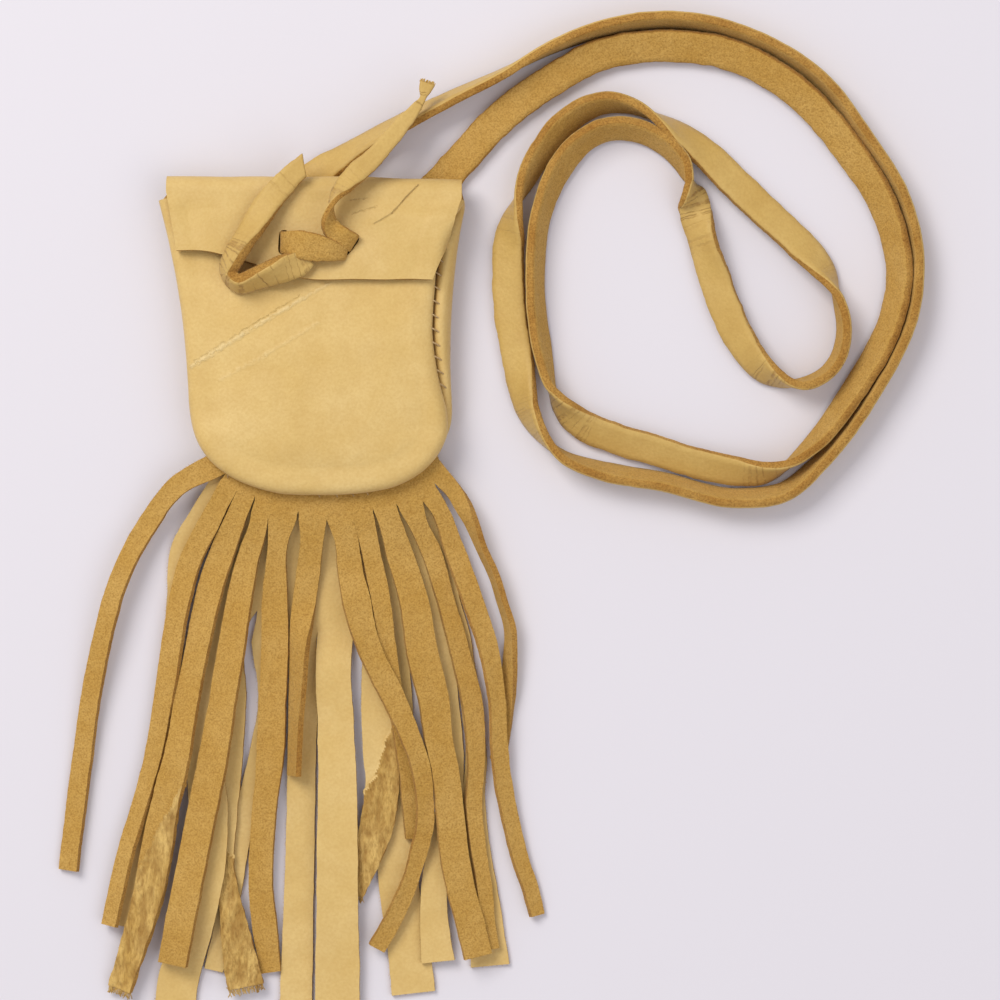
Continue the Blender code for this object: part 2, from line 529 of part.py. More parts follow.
def edge_point(edge, below, layers, drop_length, side):
    """The place on a strip's edge, this far below the seam. side is 1 for the strip to its right."""
    root, outward, heading, uncut = edge
    place = root + (outward if below < 0 else heading) * below
    if below > uncut:
        place += Vector((-heading.y, heading.x, 0)) * (SLIT_WIDTH / 2 * side)
    place.z = fringe_height(max(below, 0), layers, drop_length)
    return place


def fringe(name, start, strips, layers, drop_length, material, collection):
    """One layer of fringe: its uncut header in the seam and the strips below it."""
    mesh = bmesh.new()
    made = {}

    def vertex(i, below, side):
        """A vertex on edge i, which two neighbouring strips share where they are uncut."""
        key = (i, below, side if below > edges[i][3] else 0)
        if key not in made:
            made[key] = mesh.verts.new(edge_point(edges[i], below, layers, drop_length, side))
        return made[key]

    edges = fringe_edges(start, strips)
    for i, (share, _, line) in enumerate(strips):
        last = max(edges[i][3], edges[i + 1][3])
        depths = [-HEADER_INSIDE] + [depth for depth in HEADER_DEPTHS if depth <= last]
        rows = [(vertex(i, depth, 1), vertex(i + 1, depth, -1)) for depth in depths]
        left, right = rows[-1][0].co, rows[-1][1].co
        centre = (left + right) / 2
        knots = [(*centre, (right - left).length / 2, 0)]
        root = outline(seam_t(((strips[i - 1][0] if i else start) + share) / 2))
        for point in line:
            x, y, half, above, roll = (*point, 0)[:5]
            offset = Vector((x, y, 0)) * MM
            lift = half * MM * math.sin(math.radians(abs(roll)))
            height = fringe_height(offset.length, above, drop_length) + lift
            knots.append((root.x + offset.x, root.y + offset.y, height, half * MM, math.radians(roll)))
        length = sum(math.dist(a[:2], b[:2]) for a, b in zip(knots, knots[1:]))
        path = curve_through(knots, max(round(length / STRIP_STEP), 3))
        for before, point, after in zip(path[:-1], path[1:], list(path[2:]) + [path[-1]]):
            along = Vector((after[0] - before[0], after[1] - before[1], 0)).normalized()
            across = Vector((-along.y, along.x, 0)) * math.cos(point[4]) + Vector((0, 0, math.sin(point[4])))
            middle = Vector((point[0], point[1], max(point[2], LEATHER / 2)))
            rows.append((mesh.verts.new(middle - across * point[3]), mesh.verts.new(middle + across * point[3])))
        for (a, b), (c, d) in zip(rows, rows[1:]):
            mesh.faces.new((a, c, d, b))
    return finish(mesh, name, material, collection)


def band(name, knots, width, thickness, count, material, collection):
    """A flat strip of leather along a smooth line. A knot is its place and its roll, 0 with the grain up."""
    outline_curve = bpy.data.curves.new(name + "_section", "CURVE")
    outline_curve.dimensions = "2D"
    section = outline_curve.splines.new("POLY")
    corners = []
    x, y, bevel = width / 2, thickness / 2, thickness / 5
    for sx, sy in ((1, 1), (1, -1), (-1, -1), (-1, 1)):
        first, second = (sx * (x - bevel), sy * y), (sx * x, sy * (y - bevel))
        corners += [first, second] if sx * sy > 0 else [second, first]
    section.points.add(len(corners) - 1)
    for point, corner in zip(section.points, corners):
        point.co = (*corner, 0, 1)
    section.use_cyclic_u = True
    profile = bpy.data.objects.new(name + "_section", outline_curve)
    profile.hide_render = True
    profile.hide_viewport = True
    helpers.objects.link(profile)
    curve = bpy.data.curves.new(name, "CURVE")
    curve.dimensions = "3D"
    curve.bevel_mode = "OBJECT"
    curve.bevel_object = profile
    curve.use_fill_caps = True
    curve.twist_mode = "MINIMUM"
    spline = curve.splines.new("POLY")
    path = curve_through(knots, count, BEND_LENGTH)
    spline.points.add(len(path) - 1)
    for point, (x, y, z, roll) in zip(spline.points, path):
        point.co = (x, y, max(z, upright(roll, width, thickness) + CLEARANCE / 2), 1)
        point.tilt = roll
    curve.materials.append(material)
    obj = bpy.data.objects.new(name, curve)
    collection.objects.link(obj)
    return obj


def tree_of(obj):
    """The object's finished surface, to find what lies on it."""
    return BVHTree.FromObject(obj, bpy.context.evaluated_depsgraph_get())


def top_of(trees, x, y):
    """The highest point of the surfaces around this place."""
    heights = []
    for dx in (-1.5 * MM, 0, 1.5 * MM):
        for dy in (-1.5 * MM, 0, 1.5 * MM):
            for tree in trees:
                hit = tree.ray_cast(Vector((x + dx, y + dy, 100 * MM)), Vector((0, 0, -1)))[0]
                if hit:
                    heights.append(hit.z)
    return max(heights, default=0)


def upright(roll, width, thickness):
    """How far the middle of a rolled band stands above what it lies on."""
    return width / 2 * abs(math.sin(roll)) + thickness / 2 * abs(math.cos(roll))


def toggle(surfaces, material, collection):
    """The strip that is folded over on the flap, with its long end past the fold."""
    knots = []
    for x, y, roll in TOGGLE_LINE:
        roll = math.radians(roll)
        surface = top_of(surfaces, x * MM, min(y * MM, FOLD_Y - 4 * MM))
        height = surface + CLEARANCE + upright(roll, TOGGLE_WIDTH, TOGGLE_THICKNESS)
        knots.append((x * MM, y * MM, height, roll))
    return band("toggle", knots, TOGGLE_WIDTH, TOGGLE_THICKNESS, 28, material, collection)


def tie_thong(top, inside, material, collection):
    """The thong: tail, down the right hole, under the front, up the left slit and over into the right hole."""
    lies = top + CLEARANCE + THONG_THICKNESS / 2
    under = inside - CLEARANCE - THONG_THICKNESS / 2
    half_turn = math.pi

    def above(points):
        return [(x * MM, y * MM, top + lift * MM, math.radians(roll)) for x, y, lift, roll in points]

    down_x = RIGHT_HOLE.x + (THONG_THICKNESS + CLEARANCE) / 2
    end_x = RIGHT_HOLE.x - (THONG_THICKNESS + CLEARANCE) / 2
    turn = THONG_THICKNESS
    knots = above(THONG_TAIL)
    knots += [
        (down_x, RIGHT_HOLE.y, top - 0.5 * MM, half_turn),
        (down_x, RIGHT_HOLE.y, under + turn, half_turn),
        (down_x - turn * 0.7, RIGHT_HOLE.y, under + turn * 0.2, half_turn),
        (down_x - turn * 2, RIGHT_HOLE.y + 0.1 * MM, under, half_turn),
        (LEFT_SLIT.x + turn * 1.6, LEFT_SLIT.y - 0.1 * MM, under, half_turn),
        (LEFT_SLIT.x + turn * 0.3, LEFT_SLIT.y, under + turn * 0.2, half_turn),
        (LEFT_SLIT.x, LEFT_SLIT.y, under + turn, half_turn),
        (LEFT_SLIT.x, LEFT_SLIT.y, top - 0.3 * MM, half_turn),
    ]
    knots += above(THONG_BAR)
    knots += [(end_x, RIGHT_HOLE.y, top - 1.2 * MM, half_turn), (end_x, RIGHT_HOLE.y, inside + CLEARANCE, half_turn)]
    return band("tie_thong", knots, THONG_WIDTH, THONG_THICKNESS, 72, material, collection)


def neck_lace(inside, material, collection):
    """The flat lace: from inside the pouch out through one slit, round in its loop and back in by the other."""

    def lying(points):
        knots = []
        for x, y, roll in points:
            height = upright(math.radians(roll), LACE_WIDTH, LACE_THICKNESS) + CLEARANCE / 2
            knots.append((x * MM, y * MM, height, math.radians(roll)))
        return knots

    def through(slit, roll):
        outer, inner, end = slit
        low = LACE_THICKNESS / 2 + CLEARANCE / 2
        high = inside + CLEARANCE + LACE_THICKNESS / 2
        return [
            (outer[0] * MM, outer[1] * MM, low, roll),
            (inner[0] * MM, inner[1] * MM, high, roll),
            (end[0] * MM, end[1] * MM, high, roll),
        ]

    knots = through(LACE_LEFT_SLIT, 0)[::-1] + lying(LACE_LINE) + through(LACE_RIGHT_SLIT, 2 * math.pi)
    return band("neck_strap", knots, LACE_WIDTH, LACE_THICKNESS, LACE_POINTS, material, collection)


def cut(obj, name, start, end, across, width, depth):
    """Cuts a slot with square ends through the leather, from start to end."""
    along = (end - start).normalized()
    side = (across - along * across.dot(along)).normalized()
    up = along.cross(side)
    mesh = bmesh.new()
    bmesh.ops.create_cube(mesh, size=1)
    turn = Matrix((side, up, along)).transposed().to_4x4()
    size = Matrix.Diagonal((width, depth, (end - start).length, 1))
    bmesh.ops.transform(mesh, matrix=Matrix.Translation((start + end) / 2) @ turn @ size, verts=mesh.verts)
    data = bpy.data.meshes.new(name)
    mesh.to_mesh(data)
    mesh.free()
    cutter = bpy.data.objects.new(name, data)
    cutter.hide_render = True
    cutter.display_type = "WIRE"
    helpers.objects.link(cutter)
    boolean = obj.modifiers.new(name, "BOOLEAN")
    boolean.operation = "DIFFERENCE"
    boolean.solver = "EXACT"
    boolean.object = cutter


def cut_tie_holes(obj, top):
    """The slit on the left and the hole on the right that the thong passes."""
    low, high = Vector((0, 0, top - 6 * MM)), Vector((0, 0, top + 2 * MM))
    width = THONG_WIDTH + 2 * CLEARANCE
    across = Vector((0, 0, 1)).cross(RIGHT_HOLE - LEFT_SLIT)
    single = THONG_THICKNESS + 4 * CLEARANCE
    double = 2 * THONG_THICKNESS + 5 * CLEARANCE
    cut(obj, "left_slit", LEFT_SLIT + low, LEFT_SLIT + high, across, width, single)
    cut(obj, "right_hole", RIGHT_HOLE + low, RIGHT_HOLE + high, across, width, double)


def cut_lace_slits(obj, inside):
    """The two slits in the back, along the way that the lace takes through them."""
    low = LACE_THICKNESS / 2 + CLEARANCE / 2
    high = inside + CLEARANCE + LACE_THICKNESS / 2
    for name, (outer, inner, _) in (("left_lace_slit", LACE_LEFT_SLIT), ("right_lace_slit", LACE_RIGHT_SLIT)):
        start = Vector((outer[0] * MM, outer[1] * MM, low))
        end = Vector((inner[0] * MM, inner[1] * MM, high))
        across = (end - start).cross(Vector((0, 0, 1)))
        cut(obj, name, start, end, across, LACE_WIDTH + 2 * CLEARANCE, LACE_THICKNESS + 3 * CLEARANCE)


def leather(name, colour, roughness):
    material = bpy.data.materials.new(name)
    material.use_nodes = True
    shader = material.node_tree.nodes["Principled BSDF"]
    shader.inputs["Base Color"].default_value = (*colour, 1)
    shader.inputs["Roughness"].default_value = roughness
    return material


for old in list(bpy.data.objects):
    bpy.data.objects.remove(old)
bag = bpy.data.collections.new("Medicine bag")
bpy.context.scene.collection.children.link(bag)
helpers = bpy.data.collections.new("Medicine bag cutters and sections")
bpy.context.scene.collection.children.link(helpers)
grain = leather("Grain leather", (0.68, 0.50, 0.21), 0.6)
suede = leather("Suede", (0.55, 0.34, 0.11), 0.95)

front = front_panel(grain, bag)
front_tree = tree_of(front)
back = back_and_flap(front_tree, grain, bag)
back_tree = tree_of(back)
tie_top = max(top_of([back_tree], hole.x, hole.y) for hole in (LEFT_SLIT, RIGHT_HOLE))
front_inside = MOUTH_CROWN - LEATHER / 2 + INSIDE_RISE
back_inside = LEATHER + back_lift(MOUTH_Y)
toggle([front_tree, back_tree], grain, bag)
tie_thong(tie_top, front_inside, suede, bag)
neck_lace(back_inside, suede, bag)
cut_tie_holes(front, tie_top)
cut_tie_holes(back, tie_top)
cut_lace_slits(back, back_inside)
fringe("fringe_front", FRONT_FROM, FRONT_STRIPS, 1, FRONT_DROP_LENGTH, suede, bag)
fringe("fringe_back", BACK_FROM, BACK_STRIPS, 0, BACK_DROP_LENGTH, grain, bag)
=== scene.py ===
"""Looks of a deerskin medicine bag: pouch with a tied flap, cut fringe and a flat neck lace.

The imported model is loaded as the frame. Each piece of leather is then made again at full detail on the same
lines, in metres: +X to the bag's right, +Y towards the fold and +Z up from what the bag lies on.
"""

import logging
import math
import random
from dataclasses import dataclass, field, replace
from enum import Enum

import bmesh
import bpy
import numpy as np
from mathutils import Matrix, Vector, noise
from mathutils.bvhtree import BVHTree


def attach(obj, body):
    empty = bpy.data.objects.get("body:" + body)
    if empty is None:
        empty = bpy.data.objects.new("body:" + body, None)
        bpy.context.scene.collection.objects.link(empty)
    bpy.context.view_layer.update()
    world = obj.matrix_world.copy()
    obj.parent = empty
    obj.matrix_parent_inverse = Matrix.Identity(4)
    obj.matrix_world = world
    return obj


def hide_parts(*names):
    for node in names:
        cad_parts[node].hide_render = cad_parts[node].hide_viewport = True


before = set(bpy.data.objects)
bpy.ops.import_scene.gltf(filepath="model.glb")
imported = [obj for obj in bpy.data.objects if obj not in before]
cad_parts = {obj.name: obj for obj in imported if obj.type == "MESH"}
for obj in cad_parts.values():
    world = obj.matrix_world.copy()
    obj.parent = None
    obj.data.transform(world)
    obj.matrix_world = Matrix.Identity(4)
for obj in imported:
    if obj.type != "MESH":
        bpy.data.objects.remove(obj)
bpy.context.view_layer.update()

MM = 0.001
UP = Vector((0, 0, 1))
LEATHER = 1.3 * MM
CLEARANCE = 0.3 * MM
log = logging.getLogger("medicine_bag")

Colour = tuple[float, float, float]
Knot = tuple[float, ...]

# The tones of the marks: an old scar, paler in itself and lightened further as a painted highlight on its ridge;
# painted shade for the creases and for the shadow side of the scar; and a crack
SCAR_TONE_AND_HIGHLIGHT = (0.80, 0.62, 0.31)
PAINTED_SHADE_LINE = (0.25, 0.13, 0.03)
CRACK = (0.30, 0.15, 0.035)


class Side(Enum):
    """The two faces of a leather, the torn flesh that some strips show, and the cut edge."""

    GRAIN = 0
    SUEDE = 1
    ROUGH = 2
    EDGE = 3


class Slot(Enum):
    """The record's material slots."""

    GRAIN = "grain_leather"
    SUEDE = "suede"


def mix(first, second, share: float):
    """Returns the value or vector at this share of the way from first to second."""
    return first + (second - first) * share


def smooth(share: float) -> float:
    """Returns a share limited to 0 to 1, with an even start and end."""
    share = min(max(share, 0.0), 1.0)
    return share * share * (3 - 2 * share)


def waver(place: Vector, size: float, seed: float = 0.0) -> float:
    """Returns smooth noise from -1 to 1 whose waves are about size metres long."""
    return noise.noise(place / size + Vector((seed, seed * 1.7, seed * 2.3)))


class Nodes:
    """Adds nodes to one tree and links them."""

    def __init__(self, tree: bpy.types.NodeTree) -> None:
        """Keeps the tree."""
        self.tree = tree

    def feed(self, node: bpy.types.Node, inputs: dict) -> bpy.types.Node:
        """Sets or links a node's inputs, each given as socket name or index to a constant or an output."""
        for key, value in inputs.items():
            if isinstance(value, bpy.types.NodeSocket):
                self.tree.links.new(value, node.inputs[key])
            else:
                node.inputs[key].default_value = value
        return node

    def add(self, kind: str, inputs: dict | None = None, **settings) -> bpy.types.Node:
        """Adds a node.

        Args:
            kind: the node's type name.
            inputs: socket name or index to a constant or to another node's output.
            **settings: the node's own properties.

        Returns:
            The new node.
        """
        node = self.tree.nodes.new(kind)
        for name, value in settings.items():
            setattr(node, name, value)
        return self.feed(node, inputs or {})

    def math(self, operation: str, a, b=0.0):
        """Returns the output of a Math node."""
        return self.add("ShaderNodeMath", {0: a, 1: b}, operation=operation).outputs[0]

    def times(self, a, b):
        """Returns the product of two numbers."""
        return self.math("MULTIPLY", a, b)

    def vector(self, operation: str, inputs: dict, output: str | int = 0):
        """Returns an output of a Vector Math node."""
        return self.add("ShaderNodeVectorMath", inputs, operation=operation).outputs[output]

    def noise(self, place, scale: float, detail: float, **more):
        """Returns a Noise Texture node."""
        return self.add("ShaderNodeTexNoise", {"Vector": place, "Scale": scale, "Detail": detail, **more})

    def tint(self, ground, colour: Colour, share):
        """Returns the colour of the ground, turned to another by this share of it."""
        node = self.add("ShaderNodeMix", data_type="RGBA", blend_type="MIX")
        return self.feed(node, {0: share, 6: ground, 7: (*colour, 1)}).outputs[2]

    def ramp(self, value, low: float, high: float):
        """Returns value stretched so that low to high becomes 0 to 1."""
        inputs = {"Value": value, "From Min": low, "From Max": high}
        return self.add("ShaderNodeMapRange", inputs).outputs["Result"]


class Surface:
    """A material in the making: its shader, and its nodes on the object's own coordinates."""

    def __init__(self, name: str, **values) -> None:
        """Starts a material whose shader inputs have these values, named with _ for a space."""
        self.material = bpy.data.materials.new(name)
        self.material.use_nodes = True
        self.make = Nodes(self.material.node_tree)
        self.shader = self.material.node_tree.nodes["Principled BSDF"]
        self.set(**values)

    @property
    def place(self) -> bpy.types.NodeSocket:
        """The object coordinates."""
        return self.make.add("ShaderNodeTexCoord").outputs["Object"]

    def set(self, **values) -> bpy.types.Material:
        """Sets or links shader inputs and returns the material."""
        self.make.feed(self.shader, {name.replace("_", " "): value for name, value in values.items()})
        return self.material

    def bumped(self, height, strength: float, distance: float):
        """Returns the normal of a surface with this relief."""
        inputs = {"Height": height, "Strength": strength, "Distance": distance}
        return self.make.add("ShaderNodeBump", inputs).outputs["Normal"]


@dataclass(frozen=True)
class Mark:
    """A scar or a crease in the grain along a line, in metres."""

    start: tuple[float, float]
    end: tuple[float, float]
    width: float
    rise: float
    colour: Colour
    share: float
    above: float = 0.0
    broken: float = 1.0

    def profile(self, make: "Nodes", place, wobble):
        """Returns 1 on the mark's line and 0 beside it."""
        start, end = Vector((*self.start, 0)), Vector((*self.end, 0))
        way = end - start
        flat = make.vector("MULTIPLY", {0: place, 1: (1, 1, 0)})
        flat = make.vector("ADD", {0: flat, 1: make.vector("SCALE", {0: wobble, "Scale": self.broken})})
        rel = make.vector("SUBTRACT", {0: flat, 1: tuple(start)})
        along = make.vector("DOT_PRODUCT", {0: rel, 1: tuple(way / way.length_squared)}, "Value")
        inside = make.add("ShaderNodeClamp", {"Value": along}).outputs[0]
        near = make.vector("SCALE", {0: tuple(way), "Scale": inside})
        distance = make.vector("LENGTH", {0: make.vector("SUBTRACT", {0: rel, 1: near})}, "Value")
        height = make.add("ShaderNodeSeparateXYZ", {0: place}).outputs["Z"]
        return make.times(make.ramp(distance, self.width, 0.0), make.ramp(height, self.above, self.above + 1 * MM))


@dataclass(frozen=True)
class GrainFinish:
    """The smooth hair side: pale tan with pores, soft creases and slightly darker hollows."""

    name: str = "Grain leather"
    tone: Colour = (0.64, 0.435, 0.145)
    pale: Colour = (0.69, 0.49, 0.19)
    worn: Colour = (0.50, 0.30, 0.075)
    roughness: float = 0.52
    marks: tuple[Mark, ...] = ()
    cracked: bool = False

    def build(self) -> bpy.types.Material:
        """Returns the material."""
        surface = Surface(self.name, Specular_IOR_Level=0.32, Sheen_Weight=0.08)
        make, place = surface.make, surface.place
        patches = make.noise(place, 70.0, 4.0).outputs[0]
        stains = make.noise(place, 190.0, 6.0).outputs[0]
        specks = make.noise(place, 1400.0, 3.0).outputs[0]
        pores = make.add("ShaderNodeTexVoronoi", {"Vector": place, "Scale": 1500.0}).outputs["Distance"]
        swirl = make.noise(place, 260.0, 3.0).outputs["Color"]
        moved = make.vector("ADD", {0: place, 1: make.vector("MULTIPLY", {0: swirl, 1: (4 * MM,) * 3})})
        cells = make.add("ShaderNodeTexVoronoi", {"Vector": moved, "Scale": 150.0}, feature="DISTANCE_TO_EDGE")
        faint = make.times(make.ramp(cells.outputs["Distance"], 0.06, 0.0), make.ramp(stains, 0.56, 0.8))
        ground = make.tint((*self.tone, 1), self.pale, make.ramp(patches, 0.35, 0.7))
        for share, most in (
            (make.ramp(stains, 0.62, 0.34), 0.2), (make.ramp(specks, 0.62, 0.36), 0.24), (faint, 0.22)
        ):
            ground = make.tint(ground, self.worn, make.times(share, most))
        height = make.times(pores, 0.5)
        for relief, rise in ((specks, 0.7), (stains, 1.6), (faint, -0.8)):
            height = make.math("ADD", height, make.times(relief, rise))
        ground, height = self.marked(make, place, ground, height)
        wear = {"Value": stains, "To Min": self.roughness - 0.08, "To Max": self.roughness + 0.16}
        return surface.set(
            Base_Color=ground,
            Normal=surface.bumped(height, 0.5, 0.16 * MM),
            Roughness=make.add("ShaderNodeMapRange", wear).outputs["Result"],
        )

    def marked(self, make: Nodes, place, ground, height) -> tuple:
        """Adds the marks, and the cracks across a bent band, to the colour and the height."""
        fine = make.noise(place, 900.0, 3.0)
        wobble = make.vector("ADD", {0: fine.outputs["Color"], 1: (-0.5, -0.5, -0.5)})
        wobble = make.vector("SCALE", {0: wobble, "Scale": 1.4 * MM})
        for mark in self.marks:
            profile = mark.profile(make, place, wobble)
            if mark.broken == 1.0:
                profile = make.times(profile, make.ramp(fine.outputs[0], 0.3, 0.5))
            ground = make.tint(ground, mark.colour, make.times(profile, mark.share))
            height = make.math("ADD", height, make.times(profile, mark.rise))
        if self.cracked:
            along, bent = (
                make.add("ShaderNodeAttribute", attribute_name=name).outputs["Fac"] for name in ("along", "bent")
            )
            shifted = make.math("ADD", along, make.times(fine.outputs[0], 0.9 * MM))
            inputs = {"W": shifted, "Scale": 330.0, "Detail": 1.0}
            waves = make.add("ShaderNodeTexNoise", inputs, noise_dimensions="1D").outputs[0]
            line = make.ramp(make.math("ABSOLUTE", make.math("SUBTRACT", waves, 0.5)), 0.03, 0.0)
            stretches = make.noise(place, 420.0, 2.0).outputs[0]
            line = make.times(make.times(line, make.ramp(stretches, 0.34, 0.5)), bent)
            ground = make.tint(ground, CRACK, make.times(line, 0.65))
            height = make.math("SUBTRACT", height, make.times(line, 3.0))
        return ground, height


@dataclass(frozen=True)
class NapFinish:
    """The flesh side: golden, finely napped, with darker hollows between the fibres."""

    name: str
    tone: Colour
    pale: Colour
    dark: Colour
    nap: float = 2300.0
    fleck: float = 0.62
    relief: float = 0.35 * MM
    streak: float = 1.0
    tuft_share: float = 0.14

    def build(self) -> bpy.types.Material:
        """Returns the material."""
        surface = Surface(
            self.name, Roughness=0.95, Specular_IOR_Level=0.12,
            Sheen_Weight=0.2, Sheen_Roughness=0.45, Sheen_Tint=(1.0, 0.78, 0.42, 1),
        )
        make = surface.make
        place = make.vector("MULTIPLY", {0: surface.place, 1: (1.0, self.streak, 1.0)})
        patches = make.noise(place, 110.0, 5.0).outputs[0]
        tufts = make.noise(place, self.nap / 3, 4.0).outputs[0]
        fibres = make.noise(place, self.nap, 5.0, Roughness=0.65).outputs[0]
        ground = make.tint((*self.tone, 1), self.pale, make.ramp(patches, 0.34, 0.68))
        for colour, share, most in (
            (self.dark, make.ramp(fibres, 0.56, 0.34), self.fleck),
            (self.pale, make.ramp(fibres, 0.54, 0.72), 0.6),
            (self.dark, make.ramp(tufts, 0.6, 0.38), self.tuft_share),
        ):
            ground = make.tint(ground, colour, make.times(share, most))
        height = make.math("ADD", fibres, make.times(tufts, 1.2))
        return surface.set(Base_Color=ground, Normal=surface.bumped(height, 0.9, self.relief))


@dataclass(frozen=True)
class ThreadFinish:
    """Sewing thread, pale in itself, whose tone is darkened with painted shade for the shadows and holes round the
    stitches.
    """

    name: str = "Thread"
    # Painted shade: the tone is darker than the thread, standing for the shade in the stitch holes
    tone: Colour = (0.52, 0.36, 0.17)
    shade: Colour = (0.36, 0.23, 0.1)

    def build(self) -> bpy.types.Material:
        """Returns the material."""
        surface = Surface(self.name, Roughness=0.8)
        make = surface.make
        twist = make.add("ShaderNodeTexNoise", {"Vector": surface.place, "Scale": 2500.0}).outputs[0]
        return surface.set(Base_Color=make.tint((*self.tone, 1), self.shade, make.ramp(twist, 0.4, 0.6)))


SUEDE = NapFinish("Suede", (0.54, 0.31, 0.07), (0.60, 0.365, 0.10), (0.29, 0.135, 0.022))
CUT_EDGE = NapFinish("Cut edge", (0.42, 0.205, 0.04), (0.55, 0.31, 0.075), (0.16, 0.06, 0.01))
TORN_FLESH = NapFinish(
    "Torn flesh", (0.58, 0.35, 0.085), (0.74, 0.50, 0.17), (0.25, 0.11, 0.02),
    nap=1300.0, fleck=0.55, relief=0.9 * MM, streak=0.35, tuft_share=0.5,
)


@dataclass
class Leathers:
    """The finishes in the order of Side, which is the order of a piece's material slots."""

    grain: bpy.types.Material = field(default_factory=GrainFinish().build)
    suede: bpy.types.Material = field(default_factory=SUEDE.build)
    rough: bpy.types.Material = field(default_factory=TORN_FLESH.build)
    edge: bpy.types.Material = field(default_factory=CUT_EDGE.build)
    thread: bpy.types.Material = field(default_factory=ThreadFinish().build)

    def with_grain(self, finish: GrainFinish) -> "Leathers":
        """Returns the same leathers with another grain side."""
        return replace(self, grain=finish.build())

    def dress(self, data: bpy.types.Mesh) -> None:
        """Gives a mesh its material slots."""
        for material in (self.grain, self.suede, self.rough, self.edge):
            data.materials.append(material)


def curve_through(knots: list[Knot], step: float) -> np.ndarray:
    """Reads a smooth curve through the knots.

    Args:
        knots: rows that start with a place; what follows is carried along.
        step: the spacing of the rows that are read, in metres.

    Returns:
        The rows, evenly spaced along the curve.
    """
    rows = np.array(knots, float)
    gaps = np.linalg.norm(np.diff(rows[:, :3], axis=0), axis=1)[:, None]
    slopes = np.diff(rows, axis=0) / gaps
    inner = (slopes[:-1] * gaps[1:] + slopes[1:] * gaps[:-1]) / (gaps[:-1] + gaps[1:])
    tangents = np.concatenate([slopes[:1], inner, slopes[-1:]])
    s = np.linspace(0, 1, 24, endpoint=False)[:, None]
    pieces = []
    for i, gap in enumerate(gaps):
        start = rows[i] * (2 * s**3 - 3 * s**2 + 1) + tangents[i] * gap * (s**3 - 2 * s**2 + s)
        end = rows[i + 1] * (3 * s**2 - 2 * s**3) + tangents[i + 1] * gap * (s**3 - s**2)
        pieces.append(start + end)
    fine = np.concatenate(pieces + [rows[-1:]])
    along = np.concatenate([[0], np.cumsum(np.linalg.norm(np.diff(fine[:, :3], axis=0), axis=1))])
    count = max(int(round(along[-1] / step)), 3)
    wanted = np.linspace(0, along[-1], count + 1)
    return np.stack([np.interp(wanted, along, column) for column in fine.T], axis=1)


def settled(obj: bpy.types.Object) -> bpy.types.Object:
    """Applies all modifiers of a mesh object and returns it."""
    graph = bpy.context.evaluated_depsgraph_get()
    graph.update()
    data = bpy.data.meshes.new_from_object(obj.evaluated_get(graph), depsgraph=graph)
    old = obj.data
    obj.modifiers.clear()
    obj.data = data
    bpy.data.meshes.remove(old)
    data.name = obj.name
    return obj


def placed(name: str, data: bpy.types.ID) -> bpy.types.Object:
    """Returns a new object of the scene with this data."""
    obj = bpy.data.objects.new(name, data)
    bpy.context.scene.collection.objects.link(obj)
    return obj


def new_object(name: str, mesh: bmesh.types.BMesh, leathers: Leathers) -> bpy.types.Object:
    """Turns a mesh in the making into an object of the scene, smooth and with its material slots."""
    data = bpy.data.meshes.new(name)
    mesh.to_mesh(data)
    mesh.free()
    leathers.dress(data)
    data.shade_smooth()
    return placed(name, data)


def cut_out(obj: bpy.types.Object, cutters: list[bpy.types.Object]) -> None:
    """Adds the modifiers that cut these bodies out of a piece."""
    for cutter in cutters:
        boolean = obj.modifiers.new(cutter.name, "BOOLEAN")
        boolean.operation = "DIFFERENCE"
        boolean.solver = "EXACT"
        boolean.object = cutter


def half_height(width: float, thickness: float, roll: float) -> float:
    """Returns half the height of a strip that is rolled this far from lying flat."""
    return width / 2 * abs(math.sin(roll)) + thickness / 2 * abs(math.cos(roll))


def add_tube(mesh: bmesh.types.BMesh, rings: list, side_of) -> None:
    """Joins rings of vertices to a closed body. side_of gives the finish of each face around it."""
    size = len(rings[0])
    for first, second in zip(rings, rings[1:]):
        for k in range(size):
            n = (k + 1) % size
            mesh.faces.new((first[k], first[n], second[n], second[k])).material_index = side_of(k).value
    for ring in (rings[0], rings[-1][::-1]):
        mesh.faces.new(ring).material_index = Side.EDGE.value
    bmesh.ops.recalc_face_normals(mesh, faces=mesh.faces)


def add_rows(mesh: bmesh.types.BMesh, first: list, second: list, side: Side = Side.GRAIN) -> list:
    """Joins two lines of vertices with faces of one finish, and returns the faces."""
    faces = []
    for a, b, c, d in zip(first, first[1:], second[1:], second):
        corners = list(dict.fromkeys((a, b, c, d)))
        if len(corners) > 2:
            faces.append(mesh.faces.new(corners))
            faces[-1].material_index = side.value
    return faces


@dataclass(frozen=True)
class Strand:
    """Where one strand lies: its middle, the way it runs and the way it bows."""

    place: Vector
    way: Vector
    bow: Vector

    def turn(self) -> tuple[float, float, float]:
        """Returns the angles that turn a strand along X, bowed to Z, into place."""
        along = self.way.normalized()
        up = (self.bow - along * self.bow.dot(along)).normalized()
        return tuple(Matrix((along, up.cross(along), up)).transposed().to_euler())


